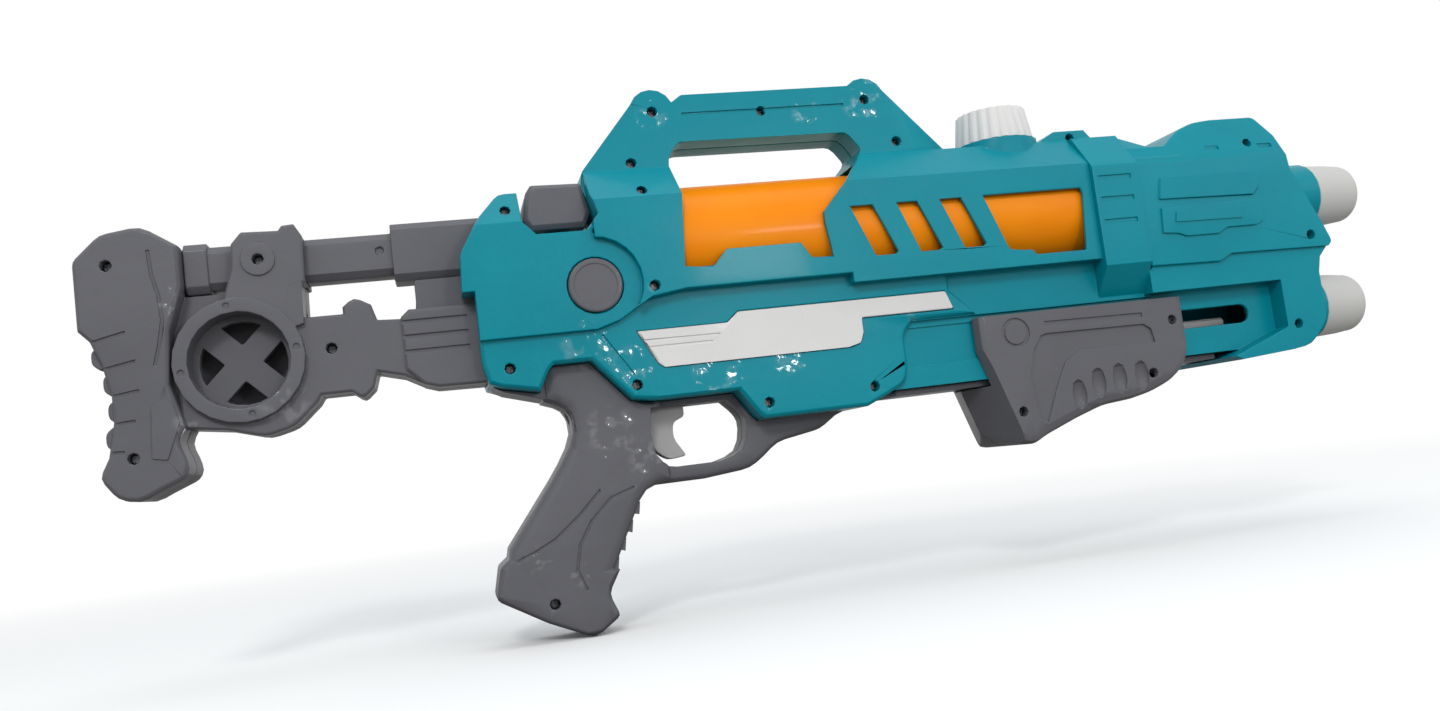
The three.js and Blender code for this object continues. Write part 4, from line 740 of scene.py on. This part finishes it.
def makeScrews():
    rows = [node for node in frame["nodes"] if "_screw_" in node]
    low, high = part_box(rows[0])
    reach = (high[1] - low[1]) / mm
    head = crossScrew["head"]
    bend = crossScrew["headRound"]
    shank = crossScrew["shank"]
    profile = [(0.0, 0.0), (head - crossScrew["headFlat"], 0.0)]
    profile += arc(head - bend, bend, bend, crossScrew["roundFrom"], 0, crossScrew["roundSteps"])
    profile += [(head, crossScrew["headHeight"]), (shank, crossScrew["headHeight"]),
                (shank, reach - crossScrew["point"]), (crossScrew["pointRadius"], reach), (0.0, reach)]
    first = turnProfile("crossScrew", {
        "base": (0, 0, 0), "axis": (0, 1, 0), "side": (1, 0, 0), "profile": profile,
        "steps": crossScrew["steps"]})
    arm = (crossScrew["slot"], crossScrew["slotReach"])
    for across, along in (arm, arm[::-1]):
        bpy.ops.object.select_all(action="DESELECT")
        bpy.ops.mesh.primitive_cube_add(size=1.0, location=(0, 0, 0))
        slot = bpy.context.active_object
        slot.scale = (across * 2 * mm, crossScrew["slotDepth"] * 2 * mm, along * 2 * mm)
        bpy.ops.object.transform_apply(location=True, rotation=True, scale=True)
        join(first, slot, "DIFFERENCE")
    smooth(first, crossScrew["smoothAngle"])
    for node in rows:
        low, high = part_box(node)
        piece = first.copy()
        piece.data = first.data.copy()
        piece.name = node.replace("_screw_", "CrossScrew")
        piece.data.name = piece.name
        scene.collection.objects.link(piece)
        place = Vector(((low[0] + high[0]) / 2, low[1], (low[2] + high[2]) / 2))
        longer = (high[1] - low[1]) - reach * mm
        for vertex in piece.data.vertices:
            stretch = longer if vertex.co.y > crossScrew["longerFrom"] * mm else 0.0
            vertex.co = vertex.co + place + Vector((0, stretch, 0))
        seat(piece, node)
    bpy.data.objects.remove(first, do_unlink=True)


springs = {  # copies of the solid's springs; on the toy they shorten towards their fixed ends as the trigger is pulled, in mm
    "valve_spring": {"name": "valveSpring", "joint": "valve_push", "fixedX": 56.0, "travel": 4.2},
    "trigger_spring": {"name": "triggerSpring", "joint": "trigger_pull", "fixedX": 10.0, "travel": 4.2},
}
springAngle = 50


def makeSprings():
    for node, look in springs.items():
        piece = copyNode(node, look["name"])
        weld(piece)
        smooth(piece, springAngle)
        seat(piece, node)
        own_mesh(piece)


makeSprings()
makeBottle()
makeFillerCap()
makeNozzles()
makePivotDiscs()
makeScrews()
print("springs and turned pieces made")

for node, obj in frame["nodes"].items():
    if not obj.hide_render:
        paint(obj, slotOf[node])

stageLook = {  # floor and white surround
    "floorDrop": 0.0005, "floorHalf": 6.0, "paper": (0.93, 0.93, 0.93, 1.0),
    "fadeFrom": 0.45, "fadeOver": 0.7, "whiteGlow": 1.0,
    "surround": 0.78, "sky": (0.95, 0.98, 1.0, 1.0), "white": (1.0, 1.0, 1.0, 1.0),
    "bounce": (0.3, 0.29, 0.28, 1.0),
}


def seenWhite(finish):  # what the camera sees straight, mirrored or through a window
    straight = finish.node("ShaderNodeLightPath", out="Is Camera Ray")
    mirrored = finish.node("ShaderNodeLightPath", out="Is Glossy Ray")
    through = finish.node("ShaderNodeLightPath", out="Is Transmission Ray")
    return (straight + mirrored + through).clamped()


def makeFloor():
    bpy.ops.object.select_all(action="DESELECT")
    low = cadBox[0][2] - stageLook["floorDrop"]
    bpy.ops.mesh.primitive_plane_add(size=2 * stageLook["floorHalf"], location=(0, 0, low))
    floor = bpy.context.active_object
    floor.name = "paperFloor"
    bpy.ops.object.transform_apply(location=True, rotation=True, scale=True)
    finish = Finish(bpy.data.materials.new("paperFloor"))
    where = finish.node("ShaderNodeTexCoord", out="Object")
    reach = finish.node("ShaderNodeVectorMath", {"operation": "LENGTH"}, {0: where}, out=1)
    fade = ((reach - stageLook["fadeFrom"]) * (1 / stageLook["fadeOver"])).clamped()
    seen = finish.node("ShaderNodeLightPath", out="Is Camera Ray")
    tone = finish.blend(seen, stageLook["bounce"], stageLook["paper"])  # it throws less light up
    paper = finish.node("ShaderNodeBsdfDiffuse", {}, {"Color": tone})
    glow = finish.node(
        "ShaderNodeEmission", {}, {"Color": stageLook["white"], "Strength": stageLook["whiteGlow"]})
    mixed = finish.node("ShaderNodeMixShader", {}, {0: seenWhite(finish) * fade, 1: paper, 2: glow})
    floor.data.materials.append(finish.close(mixed))


def makeSurround():
    finish = Finish(bpy.data.worlds.new("surround"))
    scene.world = finish.owner
    plain = finish.node(
        "ShaderNodeBackground", {}, {"Color": stageLook["sky"], "Strength": stageLook["surround"]})
    white = finish.node(
        "ShaderNodeBackground", {}, {"Color": stageLook["white"], "Strength": stageLook["whiteGlow"]})
    mixed = finish.node("ShaderNodeMixShader", {}, {0: seenWhite(finish), 1: plain, 2: white})
    finish.close(mixed, "ShaderNodeOutputWorld")


lamps = {  # soft lamps, and a small one for the glints
    "keyLamp": {"place": (-0.4, -1.4, 0.9), "aim": (0.1, 0.0, 0.05), "size": 0.3, "power": 9.0},
    "glintLamp": {"place": (0.35, -1.0, 0.25), "aim": (0.1, 0.0, 0.05), "size": 0.14, "power": 1.6},
    "fillLamp": {"place": (1.5, -1.7, 0.9), "aim": (0.2, 0.0, 0.05), "size": 1.2, "power": 6.0},
    "topLamp": {"place": (0.3, -0.3, 2.0), "aim": (0.1, 0.0, 0.05), "size": 1.4, "power": 6.0},
}


def makeLamps():
    for name, look in lamps.items():
        data = bpy.data.lights.new(name, "AREA")
        data.size = look["size"]
        data.energy = look["power"]
        lamp = bpy.data.objects.new(name, data)
        scene.collection.objects.link(lamp)
        place = Vector(look["place"])
        turn = (Vector(look["aim"]) - place).to_track_quat("-Z", "Y").to_matrix().to_4x4()
        lamp.matrix_world = Matrix.Translation(place) @ turn


makeFloor()
makeSurround()
makeLamps()
scene.view_settings.view_transform = "Standard"
print("stage lit")
